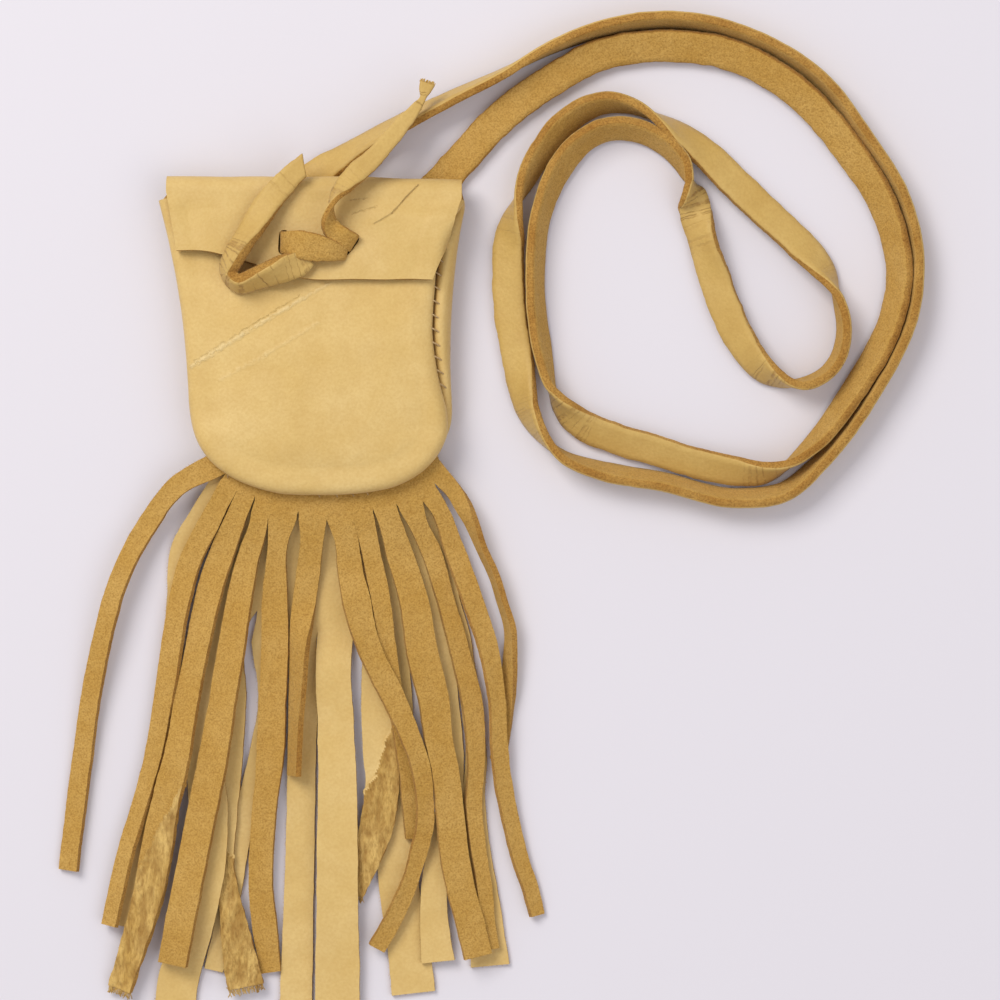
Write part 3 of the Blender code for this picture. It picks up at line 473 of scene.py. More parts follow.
@dataclass(frozen=True)
class Strands:
    """Short bowed strands of thread or fibre, one on each of a row of points, made with geometry nodes."""

    name: str
    length: float
    radius: float
    rise: float
    spread: float = 0.15
    sides: int = 6
    steps: int = 6
    seed: int = 1

    def tree(self) -> bpy.types.NodeTree:
        """Returns the node group that puts a strand on each point."""
        tree = bpy.data.node_groups.new(self.name, "GeometryNodeTree")
        face = tree.interface
        for kind, names in (
            ("Geometry", ("Geometry",)), ("Float", ("Length", "Radius", "Rise", "Spread")),
            ("Int", ("Sides", "Steps", "Seed")), ("Material", ("Finish",)),
        ):
            for name in names:
                face.new_socket(name, in_out="INPUT", socket_type=f"NodeSocket{kind}")
        face.new_socket("Geometry", in_out="OUTPUT", socket_type="NodeSocketGeometry")
        make = Nodes(tree)
        given = make.add("NodeGroupInput").outputs
        half = make.times(given["Length"], 0.5)
        start, middle, end = (
            make.add("ShaderNodeCombineXYZ", place).outputs[0]
            for place in ({"X": make.times(half, -1.0)}, {"Z": make.times(given["Rise"], 2.0)}, {"X": half})
        )
        inputs = {"Resolution": given["Steps"], "Start": start, "Middle": middle, "End": end}
        line = make.add("GeometryNodeCurveQuadraticBezier", inputs).outputs[0]
        inputs = {"Resolution": given["Sides"], "Radius": given["Radius"]}
        ring = make.add("GeometryNodeCurvePrimitiveCircle", inputs).outputs["Curve"]
        inputs = {"Curve": line, "Profile Curve": ring, "Fill Caps": True}
        strand = make.add("GeometryNodeCurveToMesh", inputs).outputs[0]
        turn = make.add("GeometryNodeInputNamedAttribute", {"Name": "turn"}, data_type="FLOAT_VECTOR")
        rotation = make.add("FunctionNodeEulerToRotation", {"Euler": turn.outputs["Attribute"]}).outputs["Rotation"]
        least, most = make.math("SUBTRACT", 1.0, given["Spread"]), make.math("ADD", 1.0, given["Spread"])
        inputs = {2: least, 3: most, 8: given["Seed"]}
        size = make.add("FunctionNodeRandomValue", inputs, data_type="FLOAT").outputs[1]
        inputs = {"Points": given["Geometry"], "Instance": strand, "Rotation": rotation, "Scale": size}
        instances = make.add("GeometryNodeInstanceOnPoints", inputs).outputs[0]
        real = make.add("GeometryNodeRealizeInstances", {"Geometry": instances}).outputs[0]
        dressed = make.add("GeometryNodeSetMaterial", {"Geometry": real, "Material": given["Finish"]}).outputs[0]
        make.add("NodeGroupOutput", {"Geometry": dressed})
        return tree

    def build(self, strands: list[Strand], finish: bpy.types.Material) -> bpy.types.Object:
        """Returns all the strands as one plain mesh.

        Args:
            strands: where they lie.
            finish: their material.
        """
        data = bpy.data.meshes.new(self.name)
        data.from_pydata([strand.place for strand in strands], [], [])
        turns = data.attributes.new("turn", "FLOAT_VECTOR", "POINT")
        turns.data.foreach_set("vector", [angle for strand in strands for angle in strand.turn()])
        obj = placed(self.name, data)
        modifier = obj.modifiers.new("Strands", "NODES")
        modifier.node_group = self.tree()
        values = {
            "Length": self.length, "Radius": self.radius, "Rise": self.rise, "Spread": self.spread,
            "Sides": self.sides, "Steps": self.steps, "Seed": self.seed, "Finish": finish,
        }
        for item in modifier.node_group.interface.items_tree:
            if item.in_out == "INPUT" and item.name in values:
                modifier[item.identifier] = values[item.name]
        settled(obj)
        obj.data.shade_smooth()
        return obj


def fibres_on(
    obj: bpy.types.Object, sides: tuple[Side, ...], each: float, length: float, seed: int
) -> list[Strand]:
    """Returns fibres that stand out from a leather, one on about so many square metres of these sides."""
    dice = random.Random(seed)
    wanted = {side.value for side in sides}
    vertices = obj.data.vertices
    strands = []
    for face in obj.data.polygons:
        if face.material_index not in wanted or face.center.z < length:
            continue
        count = int(face.area / each + dice.random())
        corners = [vertices[index].co for index in face.vertices]
        for _ in range(count):
            shares = [dice.random() + 0.05 for _ in corners]
            place = sum((corner * share for corner, share in zip(corners, shares)), Vector()) / sum(shares)
            loose = Vector((dice.gauss(0, 0.6), dice.gauss(0, 0.6), dice.gauss(0, 0.4)))
            way = (face.normal + loose).normalized()
            strands.append(Strand(place + face.normal * length * 0.3, way, Vector((loose.y, -loose.x, 0.8))))
    return strands


def frayed_end(left: Vector, right: Vector, way: Vector, count: int, length: float, seed: int) -> list[Strand]:
    """Returns loose fibres along a torn end."""
    dice = random.Random(seed)
    strands = []
    for number in range(count):
        loose = Vector((dice.gauss(0, 0.35), dice.gauss(0, 0.35), dice.gauss(0, 0.15)))
        heading = (way + loose).normalized()
        root = mix(left, right, (number + dice.random()) / count)
        strands.append(Strand(root + heading * length * 0.35, heading, Vector((loose.y, loose.x, 0.6))))
    return strands


@dataclass
class Band:
    """A flat strip of leather on a smooth line, with worn edges.

    A knot is a place, a roll in radians and, where it narrows, the share of the width that it has there.
    The slant turns the cut at the start, and the swell thickens the under side where the band bends.
    """

    name: str
    knots: list[Knot]
    width: float
    thickness: float
    step: float = 0.8 * MM
    edge_wear: float = 0.25 * MM
    floor: float | None = None
    seed: float = 1.0
    top: Side = Side.GRAIN
    slant: float = 0.0
    swell: float = 0.0

    SECTION = (
        (-0.94, 1.0), (-0.6, 1.0), (-0.2, 1.0), (0.2, 1.0), (0.6, 1.0), (0.94, 1.0), (1.0, 0.62), (1.0, -0.62),
        (0.94, -1.0), (0.6, -1.0), (0.2, -1.0), (-0.2, -1.0), (-0.6, -1.0), (-0.94, -1.0), (-1.0, -0.62),
        (-1.0, 0.62),
    )
    SLANT_FADE = 4 * MM
    SHARP_FROM, SHARP_RANGE = 22, 50

    def rows(self) -> np.ndarray:
        """Returns the band's middle line as rows of place and roll."""
        rows = curve_through([(*knot, 1.0)[:5] for knot in self.knots], self.step)
        if self.floor is not None:
            reach = self.width / 2 * np.abs(np.sin(rows[:, 3])) + self.thickness / 2 * np.abs(np.cos(rows[:, 3]))
            rows[:, 2] = np.maximum(rows[:, 2], self.floor + reach)
        return rows

    def build(self, leathers: Leathers) -> bpy.types.Object:
        """Returns the band as a closed mesh with its grain on one face."""
        rows = self.rows()
        places = [Vector(row[:3]) for row in rows]
        bent = self.bends(places)
        mesh = bmesh.new()
        rings = []
        normal = UP
        before = None
        count = len(places)
        for i, place in enumerate(places):
            along = (places[min(i + 1, count - 1)] - places[max(i - 1, 0)]).normalized()
            if before is not None:
                normal = before.rotation_difference(along) @ normal
            normal = (normal - along * normal.dot(along)).normalized()
            before = along
            turned = Matrix.Rotation(rows[i][3], 3, along) @ normal
            across = along.cross(turned)
            half = self.width / 2 * max(float(rows[i][4]), 0.1)
            cut = along * self.slant * half * max(0.0, 1 - i * self.step / self.SLANT_FADE)
            under = self.thickness / 2 * (1 + self.swell * bent[i])
            ring = []
            for u, v in self.SECTION:
                edge = place + across * half * u - cut * u
                wear = waver(edge, 3.5 * MM, self.seed) + 0.6 * waver(edge, 1.2 * MM, self.seed)
                lump = 0.12 * MM * waver(edge, 4 * MM, self.seed + 5) * (1 if abs(u) < 0.9 else 0.4)
                depth = v * (self.thickness / 2 if v > 0 else under)
                spot = edge + across * (self.edge_wear * wear) * u * abs(u) + turned * (depth + lump)
                ring.append(mesh.verts.new(spot))
            rings.append(ring)
        add_tube(mesh, rings, self.side)
        obj = new_object(self.name, mesh, leathers)
        steps = [0.0] + [(b - a).length for a, b in zip(places, places[1:])]
        for name, values in (("along", np.cumsum(steps)), ("bent", bent)):
            layer = obj.data.attributes.new(name, "FLOAT", "POINT")
            layer.data.foreach_set("value", np.repeat(values, len(self.SECTION)).astype(np.float32))
        return obj

    def side(self, k: int) -> Side:
        """Returns what this face of the section shows."""
        below = Side.SUEDE if self.top is Side.GRAIN else Side.GRAIN
        if k < 5:
            return self.top
        if 8 <= k < 13:
            return below
        if k in (5, 15):
            return Side.GRAIN if self.top is Side.GRAIN else Side.EDGE
        if k in (7, 13):
            return Side.GRAIN if below is Side.GRAIN else Side.EDGE
        return Side.EDGE

    def bends(self, places: list[Vector]) -> np.ndarray:
        """Returns how sharply the band bends at each place, from 0 to 1."""
        turns = np.zeros(len(places))
        for i in range(3, len(places) - 3):
            before, after = places[i] - places[i - 3], places[i + 3] - places[i]
            turns[i] = before.angle(after, 0) / (3 * self.step)
        even = np.convolve(turns, np.ones(9) / 9, "same")
        return np.clip((even - self.SHARP_FROM) / self.SHARP_RANGE, 0, 1)


@dataclass(frozen=True)
class PouchShape:
    """The pouch's outline from above and its sections at the seam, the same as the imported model's."""

    half_width: float = 32.5 * MM
    mouth_flare: float = 5.5 * MM
    mouth_y: float = 33 * MM
    belly_y: float = -15 * MM
    bottom_depth: float = 25 * MM
    roundness: float = 2.6
    lean_mouth: float = -1.25 * MM
    lean_bottom: float = 1.65 * MM
    seam_height: float = 5.6 * MM
    seam_room: float = 0.6 * MM
    allowance: float = 2.5 * MM
    turn_radius: float = 1.0 * MM
    mouth_crown: float = 8.6 * MM
    belly_crown: float = 12.8 * MM
    full_y: float = -5 * MM
    shoulder_depth: float = 7 * MM
    shoulder_share: float = 0.62
    roll: float = math.radians(70)
    roll_from_y: float = -25 * MM
    roll_full_y: float = 5 * MM
    roll_fade: float = 13 * MM
    rolled_shoulder: float = 2.5 * MM
    fringe_from_y: float = -30.25 * MM
    fringe_opens: float = 12 * MM
    lace_rise: float = 2.8 * MM
    lift_from_y: float = 10 * MM
    lift_full_y: float = 26 * MM

    def lean(self, y: float) -> float:
        """Returns how far the middle line stands to the right at this y."""
        bottom = self.belly_y - self.bottom_depth
        return mix(self.lean_bottom, self.lean_mouth, (y - bottom) / (self.mouth_y - bottom))

    def outline(self, t: float) -> Vector:
        """Returns the outline at t: 0 to 1 down the left, to 2 along the bottom and to 3 up the right."""
        if 1 < t < 2:
            angle = math.radians(45 + 90 * (t - 1))
            side = -math.copysign(1, math.cos(angle))
        else:
            from_mouth = t if t <= 1 else 3 - t
            side = -1 if t <= 1 else 1
            if from_mouth < 0.5:
                up = 1 - 2 * from_mouth
                y = mix(self.belly_y, self.mouth_y, up)
                return Vector((self.lean(y) + side * (self.half_width + self.mouth_flare * up * up), y, 0))
            angle = math.radians(45 * (2 * from_mouth - 1))
        power = 2 / self.roundness
        y = self.belly_y - self.bottom_depth * math.sin(angle) ** power
        return Vector((self.lean(y) + side * self.half_width * abs(math.cos(angle)) ** power, y, 0))

    def outwards(self, t: float) -> Vector:
        """Returns the outline's outward direction."""
        along = self.outline(min(t + 0.02, 3.0)) - self.outline(max(t - 0.02, 0.0))
        return Vector((along.y, -along.x, 0)).normalized()

    def seam_roll(self, t: float) -> float:
        """Returns how far the seam has rolled up over the right edge."""
        if t <= 2:
            return 0.0
        y = self.outline(t).y
        rise = min(max((y - self.roll_from_y) / (self.roll_full_y - self.roll_from_y), 0), 1)
        fall = min(max((self.mouth_y - y) / self.roll_fade, 0), 1)
        return self.roll * math.sin(math.pi / 2 * rise) * math.sin(math.pi / 2 * fall)

    def seam_gap(self, t: float) -> float:
        """Returns the room between the seam allowances, which hold the fringe at the bottom."""
        fringe = 2 * LEATHER + 3 * CLEARANCE
        below = self.fringe_from_y + self.fringe_opens - self.outline(t).y
        return mix(self.seam_room, fringe, smooth(below / self.fringe_opens))

    def crown(self, y: float) -> float:
        """Returns the height of the middle of the front panel's leather."""
        share = smooth((self.mouth_y - y) / (self.mouth_y - self.full_y))
        return mix(self.mouth_crown, self.belly_crown, share)

    def edge_place(self, t: float, point: Vector) -> Vector:
        """Returns the place that lies outwards and upwards of the middle of the rounded edge."""
        out = self.outwards(t) * (point.x - self.seam_height)
        return self.outline(t) + out + Vector((0, 0, self.seam_height + point.y))

    def seam_ways(self, t: float) -> tuple[Vector, Vector]:
        """Returns the way out of the seam and the way round it, in the plane of the section."""
        roll = self.seam_roll(t)
        return Vector((math.cos(roll), math.sin(roll))), Vector((-math.sin(roll), math.cos(roll)))

    def turned_edge(self, t: float, side: int, corner: int = 5) -> list[Vector]:
        """Returns the edge that is turned in at the seam. side is 1 in front and -1 at the back."""
        radial, around = self.seam_ways(t)
        around *= side
        half = (self.seam_gap(t) + LEATHER) / 2
        centre = radial * (self.seam_height - LEATHER / 2 - self.turn_radius) + around * (half + self.turn_radius)
        points = []
        for step in range(corner):
            angle = math.pi / 2 * step / (corner - 1)
            points.append(centre + (radial * math.cos(angle) - around * math.sin(angle)) * self.turn_radius)
        return points + [points[-1] - radial * self.allowance * share for share in (0.5, 1)]

    def front_section(self, t: float, steps: int = 12) -> list[Vector]:
        """Returns the front panel's section at its edge, from its shoulder's inner end to its allowance."""
        turned = self.turned_edge(t, 1)
        shoulder = turned[0]
        depth = self.shoulder_depth + self.rolled_shoulder * self.seam_roll(t) / self.roll
        rise = max(self.crown(self.outline(t).y) - self.seam_height - shoulder.y, 0)
        inner = Vector((self.seam_height - depth, shoulder.y + self.shoulder_share * rise))
        reach = (inner - shoulder).length
        leaves = shoulder + self.seam_ways(t)[1] * reach * 0.45
        arrives = inner + Vector((1, -0.2)) * reach * 0.4
        points = []
        for step in range(steps):
            s = step / steps
            start = inner * (1 - s) ** 3 + arrives * 3 * s * (1 - s) ** 2
            points.append(start + leaves * 3 * s * s * (1 - s) + shoulder * s**3)
        return [self.edge_place(t, point) for point in points + turned]

    def back_lift(self, y: float) -> float:
        """Returns how far the back is raised by the lace under it."""
        return self.lace_rise * smooth((y - self.lift_from_y) / (self.lift_full_y - self.lift_from_y))

    def lifted(self, point: Vector) -> Vector:
        """Returns the point raised by the lace, less so towards the seam."""
        lowest = LEATHER / 2
        foot = self.seam_height - (self.seam_room + LEATHER) / 2 - self.turn_radius
        share = max(1 - (point.z - lowest) / (foot - lowest), 0)
        return point + UP * (self.back_lift(point.y) * share)

    def back_section(self, t: float, steps: int = 10) -> list[Vector]:
        """Returns the back panel's section at its edge, from its flat bottom round to its allowance."""
        turned = self.turned_edge(t, -1)
        lowest = self.seam_height - LEATHER / 2
        end = math.atan2(turned[0].y, turned[0].x)
        points = []
        for step in range(steps):
            s = step / steps
            angle = mix(-math.pi / 2, end, s)
            radius = mix(lowest, turned[0].length, s * s)
            points.append(Vector((radius * math.cos(angle), max(radius * math.sin(angle), -lowest))))
        return [self.lifted(self.edge_place(t, point)) for point in points + turned]


SHAPE = PouchShape()


class Sheet:
    """A leather in the making: an open surface, seen from its outside, that is given its thickness last."""

    def __init__(self, name: str, thickness: float = LEATHER) -> None:
        """Starts an empty sheet."""
        self.name = name
        self.thickness = thickness
        self.mesh = bmesh.new()

    def row(self, places) -> list:
        """Returns new vertices at the places."""
        return [self.mesh.verts.new(place) for place in places]

    def turn_out(self, seed: Vector) -> None:
        """Turns all faces the same way, so that the one nearest to the seed faces up."""
        bmesh.ops.recalc_face_normals(self.mesh, faces=self.mesh.faces)
        nearest = min(self.mesh.faces, key=lambda face: (face.calc_center_median() - seed).length)
        if nearest.normal.z < 0:
            bmesh.ops.reverse_faces(self.mesh, faces=self.mesh.faces)

    def relief(self, height) -> None:
        """Moves each vertex along its normal by what height returns for its place."""
        self.mesh.normal_update()
        moves = [(vertex, vertex.normal * height(vertex.co)) for vertex in self.mesh.verts]
        for vertex, move in moves:
            vertex.co += move

    def finish(self, leathers: Leathers, top: Side = Side.GRAIN, cutters: list | None = None) -> bpy.types.Object:
        """Returns the finished leather.

        Args:
            leathers: the finishes.
            top: what the outside shows. The inside shows the other.
            cutters: objects that are cut out of it.
        """
        obj = new_object(self.name, self.mesh, leathers)
        solidify = obj.modifiers.new("Leather", "SOLIDIFY")
        solidify.thickness = self.thickness
        solidify.offset = 0
        solidify.material_offset = 1 if top is Side.GRAIN else -1
        solidify.material_offset_rim = Side.EDGE.value - top.value
        cut_out(obj, cutters or [])
        settled(obj)
        obj.data.set_sharp_from_angle(angle=math.radians(55))
        return obj


@dataclass(frozen=True)
class SlotCut:
    """A rounded slot through a leather, from start to end."""

    start: Vector
    end: Vector
    across: Vector
    width: float
    depth: float

    def cutter(self, name: str, leathers: Leathers, sides: int = 28) -> bpy.types.Object:
        """Returns the body that cuts the slot, which leaves suede on its walls."""
        along = (self.end - self.start).normalized()
        side = (self.across - along * self.across.dot(along)).normalized()
        up = along.cross(side)
        mesh = bmesh.new()
        rings = []
        for end in (self.start, self.end):
            ring = []
            for k in range(sides):
                angle = 2 * math.pi * k / sides
                x = math.copysign(abs(math.cos(angle)) ** 0.5, math.cos(angle)) * self.width / 2
                y = math.copysign(abs(math.sin(angle)) ** 0.7, math.sin(angle)) * self.depth / 2
                ring.append(mesh.verts.new(end + side * x + up * y))
            rings.append(ring)
        add_tube(mesh, rings, lambda k: Side.EDGE)
        return new_object(name, mesh, leathers)


def surface_tree(obj: bpy.types.Object) -> BVHTree:
    """Returns the tree of a finished mesh, to find what lies on it."""
    vertices = [vertex.co.copy() for vertex in obj.data.vertices]
    return BVHTree.FromPolygons(vertices, [tuple(face.vertices) for face in obj.data.polygons])


def top_of(trees: list[BVHTree], x: float, y: float, reach: float = 1.5 * MM) -> float:
    """Returns the highest point of the surfaces around this place."""
    heights = [0.0]
    for dx in (-reach, 0, reach):
        for dy in (-reach, 0, reach):
            for tree in trees:
                hit = tree.ray_cast(Vector((x + dx, y + dy, 0.1)), Vector((0, 0, -1)))[0]
                if hit:
                    heights.append(hit.z)
    return max(heights)


@dataclass
class Tie:
    """The toggle strip and the thong that ties it down through the flap and the front."""

    left_slit: Vector = field(default_factory=lambda: Vector((-8 * MM, 22.5 * MM, 0)))
    right_hole: Vector = field(default_factory=lambda: Vector((8 * MM, 21.5 * MM, 0)))
    toggle_width: float = 6.5 * MM
    toggle_thickness: float = 2.2 * MM
    thong_width: float = 6 * MM
    thong_thickness: float = 1.6 * MM
    inside_rise: float = 0.6 * MM
    hole_axis: Vector = field(default_factory=lambda: Vector((0.62, 0.78, 0)))
    hole_width: float = 7.0 * MM

    # Rows of x, y, for the thong its height over the flap, roll in degrees and share of the width
    FOLD_TOP = 35.25
    TOGGLE = (
        (-2.9, 41.6, 0, 0.75), (-7.9, 37.0, 0, 0.9), (-12.8, 30.7, 20), (-16.3, 24.9, 42), (-20.0, 19.4, 58),
        (-21.9, 14.8, 64), (-19.2, 11.8, 66), (-14.7, 13.0, 56), (-10.2, 14.7, 40), (-6.6, 16.1, 20),
        (-3.6, 17.2, 4, 0.9), (-1.6, 18.4, 0, 0.62),
    )
    TAIL = (
        (27.5, 62.0, -2.4, 0, 0.62), (26.9, 60.3, -2.4, 0, 0.5), (26.4, 58.4, -2.3, 0, 0.28),
        (25.2, 56.4, -2.1, 0, 0.40), (23.4, 54.0, -1.7, 0, 0.55), (21.2, 51.4, -1.0, 0, 0.64),
        (17.6, 47.0, 0.1, 0, 0.74), (14.4, 43.5, 1.0, 0, 0.80), (10.4, 39.7, 1.6, 5, 0.84),
        (6.9, 36.1, 2.7, 40, 0.85), (4.6, 32.8, 3.4, 75, 0.78), (3.5, 29.6, 3.5, 105, 0.72),
        (3.5, 26.9, 3.3, 140, 0.78), (4.9, 24.7, 2.6, 172, 0.84), (7.1, 23.2, 2.0, 180, 0.86),
        (8.9, 22.4, 0.6, 180, 0.8),
    )
    BAR = (
        (-7.8, 22.2, 1.1, 180, 0.9), (-6.4, 22.1, 2.6, 180, 1.04), (-3.8, 21.7, 3.6, 180, 1.14),
        (-0.3, 21.0, 3.6, 180, 1.14), (3.0, 20.3, 3.0, 180, 0.96), (5.4, 19.8, 2.0, 180, 0.7),
        (6.9, 19.6, 0.7, 180, 0.46),
    )

    @property
    def inside(self) -> float:
        """The height of the front panel's inside at the tie."""
        return SHAPE.mouth_crown - LEATHER / 2 + self.inside_rise

    def cutters(self, top: float, leathers: Leathers) -> list[bpy.types.Object]:
        """Returns the bodies that cut the left slit and the right hole."""
        low, high = UP * (top - 6 * MM), UP * (top + 4 * MM)
        upright = UP.cross(self.right_hole - self.left_slit)
        depth = self.thong_thickness * 1.6
        bodies = []
        for name, hole, across, width in (
            ("left_slit", self.left_slit, upright, self.thong_width),
            ("right_hole", self.right_hole, self.hole_axis, self.hole_width),
        ):
            bodies.append(SlotCut(hole + low, hole + high, across, width, depth).cutter(name, leathers))
        return bodies

    def build_toggle(self, surfaces: list[BVHTree], leathers: Leathers) -> bpy.types.Object:
        """Returns the toggle strip."""
        knots = []
        for x, y, roll, *narrow in self.TOGGLE:
            roll = math.radians(roll)
            reach = half_height(self.toggle_width, self.toggle_thickness, roll)
            surface = top_of(surfaces, x * MM, min(y, self.FOLD_TOP) * MM)
            knots.append((x * MM, y * MM, surface + CLEARANCE + reach, roll, *narrow))
        size = (self.toggle_width, self.toggle_thickness)
        strip = Band("toggle_strip", knots, *size, step=0.5 * MM, seed=3, slant=0.65, swell=0.65)
        return strip.build(leathers)

    def frayed_tip(self, top: float) -> list[Strand]:
        """Returns the fibres at the thong's free end."""
        (x, y, lift, _, share), (before_x, before_y, *_) = self.TAIL[:2]
        tip = Vector((x * MM, y * MM, top + lift * MM))
        way = Vector((x - before_x, y - before_y, 0)).normalized()
        reach = Vector((-way.y, way.x, 0)) * self.thong_width / 2 * share
        return frayed_end(tip - reach, tip + reach, way, 46, 0.7 * MM, 21)

    def build_thong(self, top: float, leathers: Leathers) -> bpy.types.Object:
        """Returns the thong: its tail, its way through the holes and its bar over the toggle."""
        under = self.inside - CLEARANCE - self.thong_thickness / 2
        half_turn = math.pi

        def above(points: tuple) -> list[Knot]:
            return [
                (x * MM, y * MM, top + lift * MM, math.radians(roll), part)
                for x, y, lift, roll, part in points
            ]

        turn = self.thong_thickness
        slit = self.left_slit
        way = Vector((self.hole_axis.y, -self.hole_axis.x, 0))
        down = self.right_hole + self.hole_axis * 1.5 * MM
        end = self.right_hole - self.hole_axis * 1.9 * MM

        def hidden(place: Vector, z: float, part: float) -> Knot:
            return (place.x, place.y, z, half_turn, part)

        knots = above(self.TAIL)
        knots += [
            hidden(down, top - 0.8 * MM, 0.66),
            hidden(down, under + turn, 0.66),
            hidden(down - way * turn * 0.7, under + turn * 0.2, 0.7),
            hidden(down - way * turn * 2, under, 0.9),
            hidden(slit + Vector((turn * 1.6, -0.1 * MM, 0)), under, 1.0),
            hidden(slit + Vector((turn * 0.3, 0, 0)), under + turn * 0.2, 0.9),
            hidden(slit, under + turn, 0.9),
            hidden(slit, top - 0.3 * MM, 0.9),
        ]
        knots += above(self.BAR)
        knots += [hidden(end, top - 0.9 * MM, 0.38), hidden(end, self.inside + CLEARANCE, 0.38)]
        return Band("thong", knots, self.thong_width, self.thong_thickness, step=0.5 * MM, seed=9).build(leathers)


@dataclass
class Pouch:
    """The two panels of the pouch and the flap, which runs on from the back."""

    side_steps: int = 80
    bottom_steps: int = 80
    fold_steps: int = 18
    flap_steps: int = 44
    fold_y: float = 39.25 * MM
    flap_top: tuple[float, float] = (-37.2 * MM, 36.0 * MM)
    flap_sides: tuple[float, float] = (-34.5 * MM, 28.75 * MM)
    flap_ends: tuple[float, float] = (20.5 * MM, 13.2 * MM)
    flap_droop: float = 1.5 * MM
    gape: tuple[float, ...] = (-27 * MM, 8 * MM, 1.2 * MM)
    bulge: tuple[float, ...] = (15 * MM, 33 * MM, 9 * MM, 5 * MM, 1.5 * MM)
    fold_falls: float = 1.8 * MM
    fold_top: float = SHAPE.mouth_crown + LEATHER + CLEARANCE

    def seam_steps(self) -> list[float]:
        """Returns the values of t at which the panels' edges are divided."""
        left = [j / self.side_steps for j in range(self.side_steps)]
        bottom = [1 + i / self.bottom_steps for i in range(self.bottom_steps)]
        right = [2 + j / self.side_steps for j in range(self.side_steps + 1)]
        return left + bottom + right

    def patch(self, sections: list, raise_point) -> list[list[Vector]]:
        """Returns rows of points that fill a panel inside its edge sections, from the mouth down."""
        inner = [section[0] for section in sections]
        left = inner[: self.side_steps + 1]
        bottom = inner[self.side_steps : self.side_steps + self.bottom_steps + 1]
        right = inner[self.side_steps + self.bottom_steps :][::-1]
        rows = []
        for j in range(self.side_steps + 1):
            down = j / self.side_steps
            row = []
            for i in range(self.bottom_steps + 1):
                across = i / self.bottom_steps
                point = mix(left[j], right[j], across)
                point = point + (bottom[i] - mix(bottom[0], bottom[-1], across)) * down
                row.append(raise_point(point, 2 * across - 1, max(2 * down - 1, 0)))
            rows.append(row)
        return rows

    def panel(self, sheet: Sheet, sections: list, rows: list, turned: int) -> list:
        """Fills a sheet with a panel and returns its line of vertices across the mouth."""
        grid = [sheet.row(row) for row in rows]
        for upper, lower in zip(grid, grid[1:]):
            add_rows(sheet.mesh, upper, lower)
        ring = [row[0] for row in grid[:-1]] + grid[-1] + [row[-1] for row in reversed(grid[:-1])]
        rings = [ring]
        for place in range(1, len(sections[0])):
            rings.append(sheet.row(section[place] for section in sections))
        for inner, outer in zip(rings, rings[1:]):
            add_rows(sheet.mesh, inner, outer)
        edge = rings[: len(rings) - turned + 1]
        return [line[0] for line in reversed(edge)] + grid[0][1:-1] + [line[-1] for line in edge]

    def front_relief(self, place: Vector) -> float:
        """Returns the soft unevenness of the front panel, none at its seam."""
        height = smooth((place.z - 6.5 * MM) / (2.5 * MM))
        lumps = 0.30 * waver(place, 14 * MM, 1) + 0.10 * waver(place, 5 * MM, 2)
        return MM * height * lumps

    def build_front(self, leathers: Leathers) -> bpy.types.Object:
        """Returns the front panel, not cut yet."""

        def domed(point: Vector, across: float, below: float) -> Vector:
            share = (1 - across * across) * (1 - below * below)
            return Vector((point.x, point.y, mix(point.z, SHAPE.crown(point.y), share)))

        sections = [SHAPE.front_section(t) for t in self.seam_steps()]
        sheet = Sheet("pouch_front")
        self.panel(sheet, sections, self.patch(sections, domed), 7)
        sheet.turn_out(Vector((0, -5 * MM, 13 * MM)))
        sheet.relief(self.front_relief)
        return sheet.finish(leathers)

    def flap_place(self, front: BVHTree, share: float, down: float, turn_y: float) -> Vector:
        """Returns where the flap's leather lies: share is 0 to 1 across, down is 0 to 1 from the fold."""
        x = mix(mix(*self.flap_top, share), mix(*self.flap_sides, share), down)
        edge = mix(*self.flap_ends, smooth((share - 0.06) / 0.5))
        wave = 0.25 * MM * waver(Vector((x, edge, 0)), 9 * MM, 4) * down
        y = mix(turn_y - self.fold_falls * share**2, edge + wave, down)
        across = 2 * share - 1
        lies = top_of([front], x, min(y, SHAPE.mouth_y - 2 * MM), 1.0 * MM) + CLEARANCE + LEATHER / 2
        z = max(lies, SHAPE.crown(y) + LEATHER + CLEARANCE - self.flap_droop * across**4 * smooth(down * 2.5))
        gape_x, gape_width, gape = self.gape
        z += gape * math.exp(-(((x - gape_x) / gape_width) ** 2)) * smooth(down * 1.3 - 0.3)
        bulge_x, bulge_y, bulge_width, bulge_length, bulge = self.bulge
        away = ((x - bulge_x) / bulge_width) ** 2 + ((y - bulge_y) / bulge_length) ** 2
        flat = Vector((x, y, 0))
        soft = 0.22 * (1 + waver(flat, 8 * MM, 6)) + 0.08 * (1 + waver(flat, 3 * MM, 8))
        z += bulge * math.exp(-away) * down**0.3 + soft * MM
        return Vector((x, y, mix(self.fold_top, z, smooth(down * 3.5))))

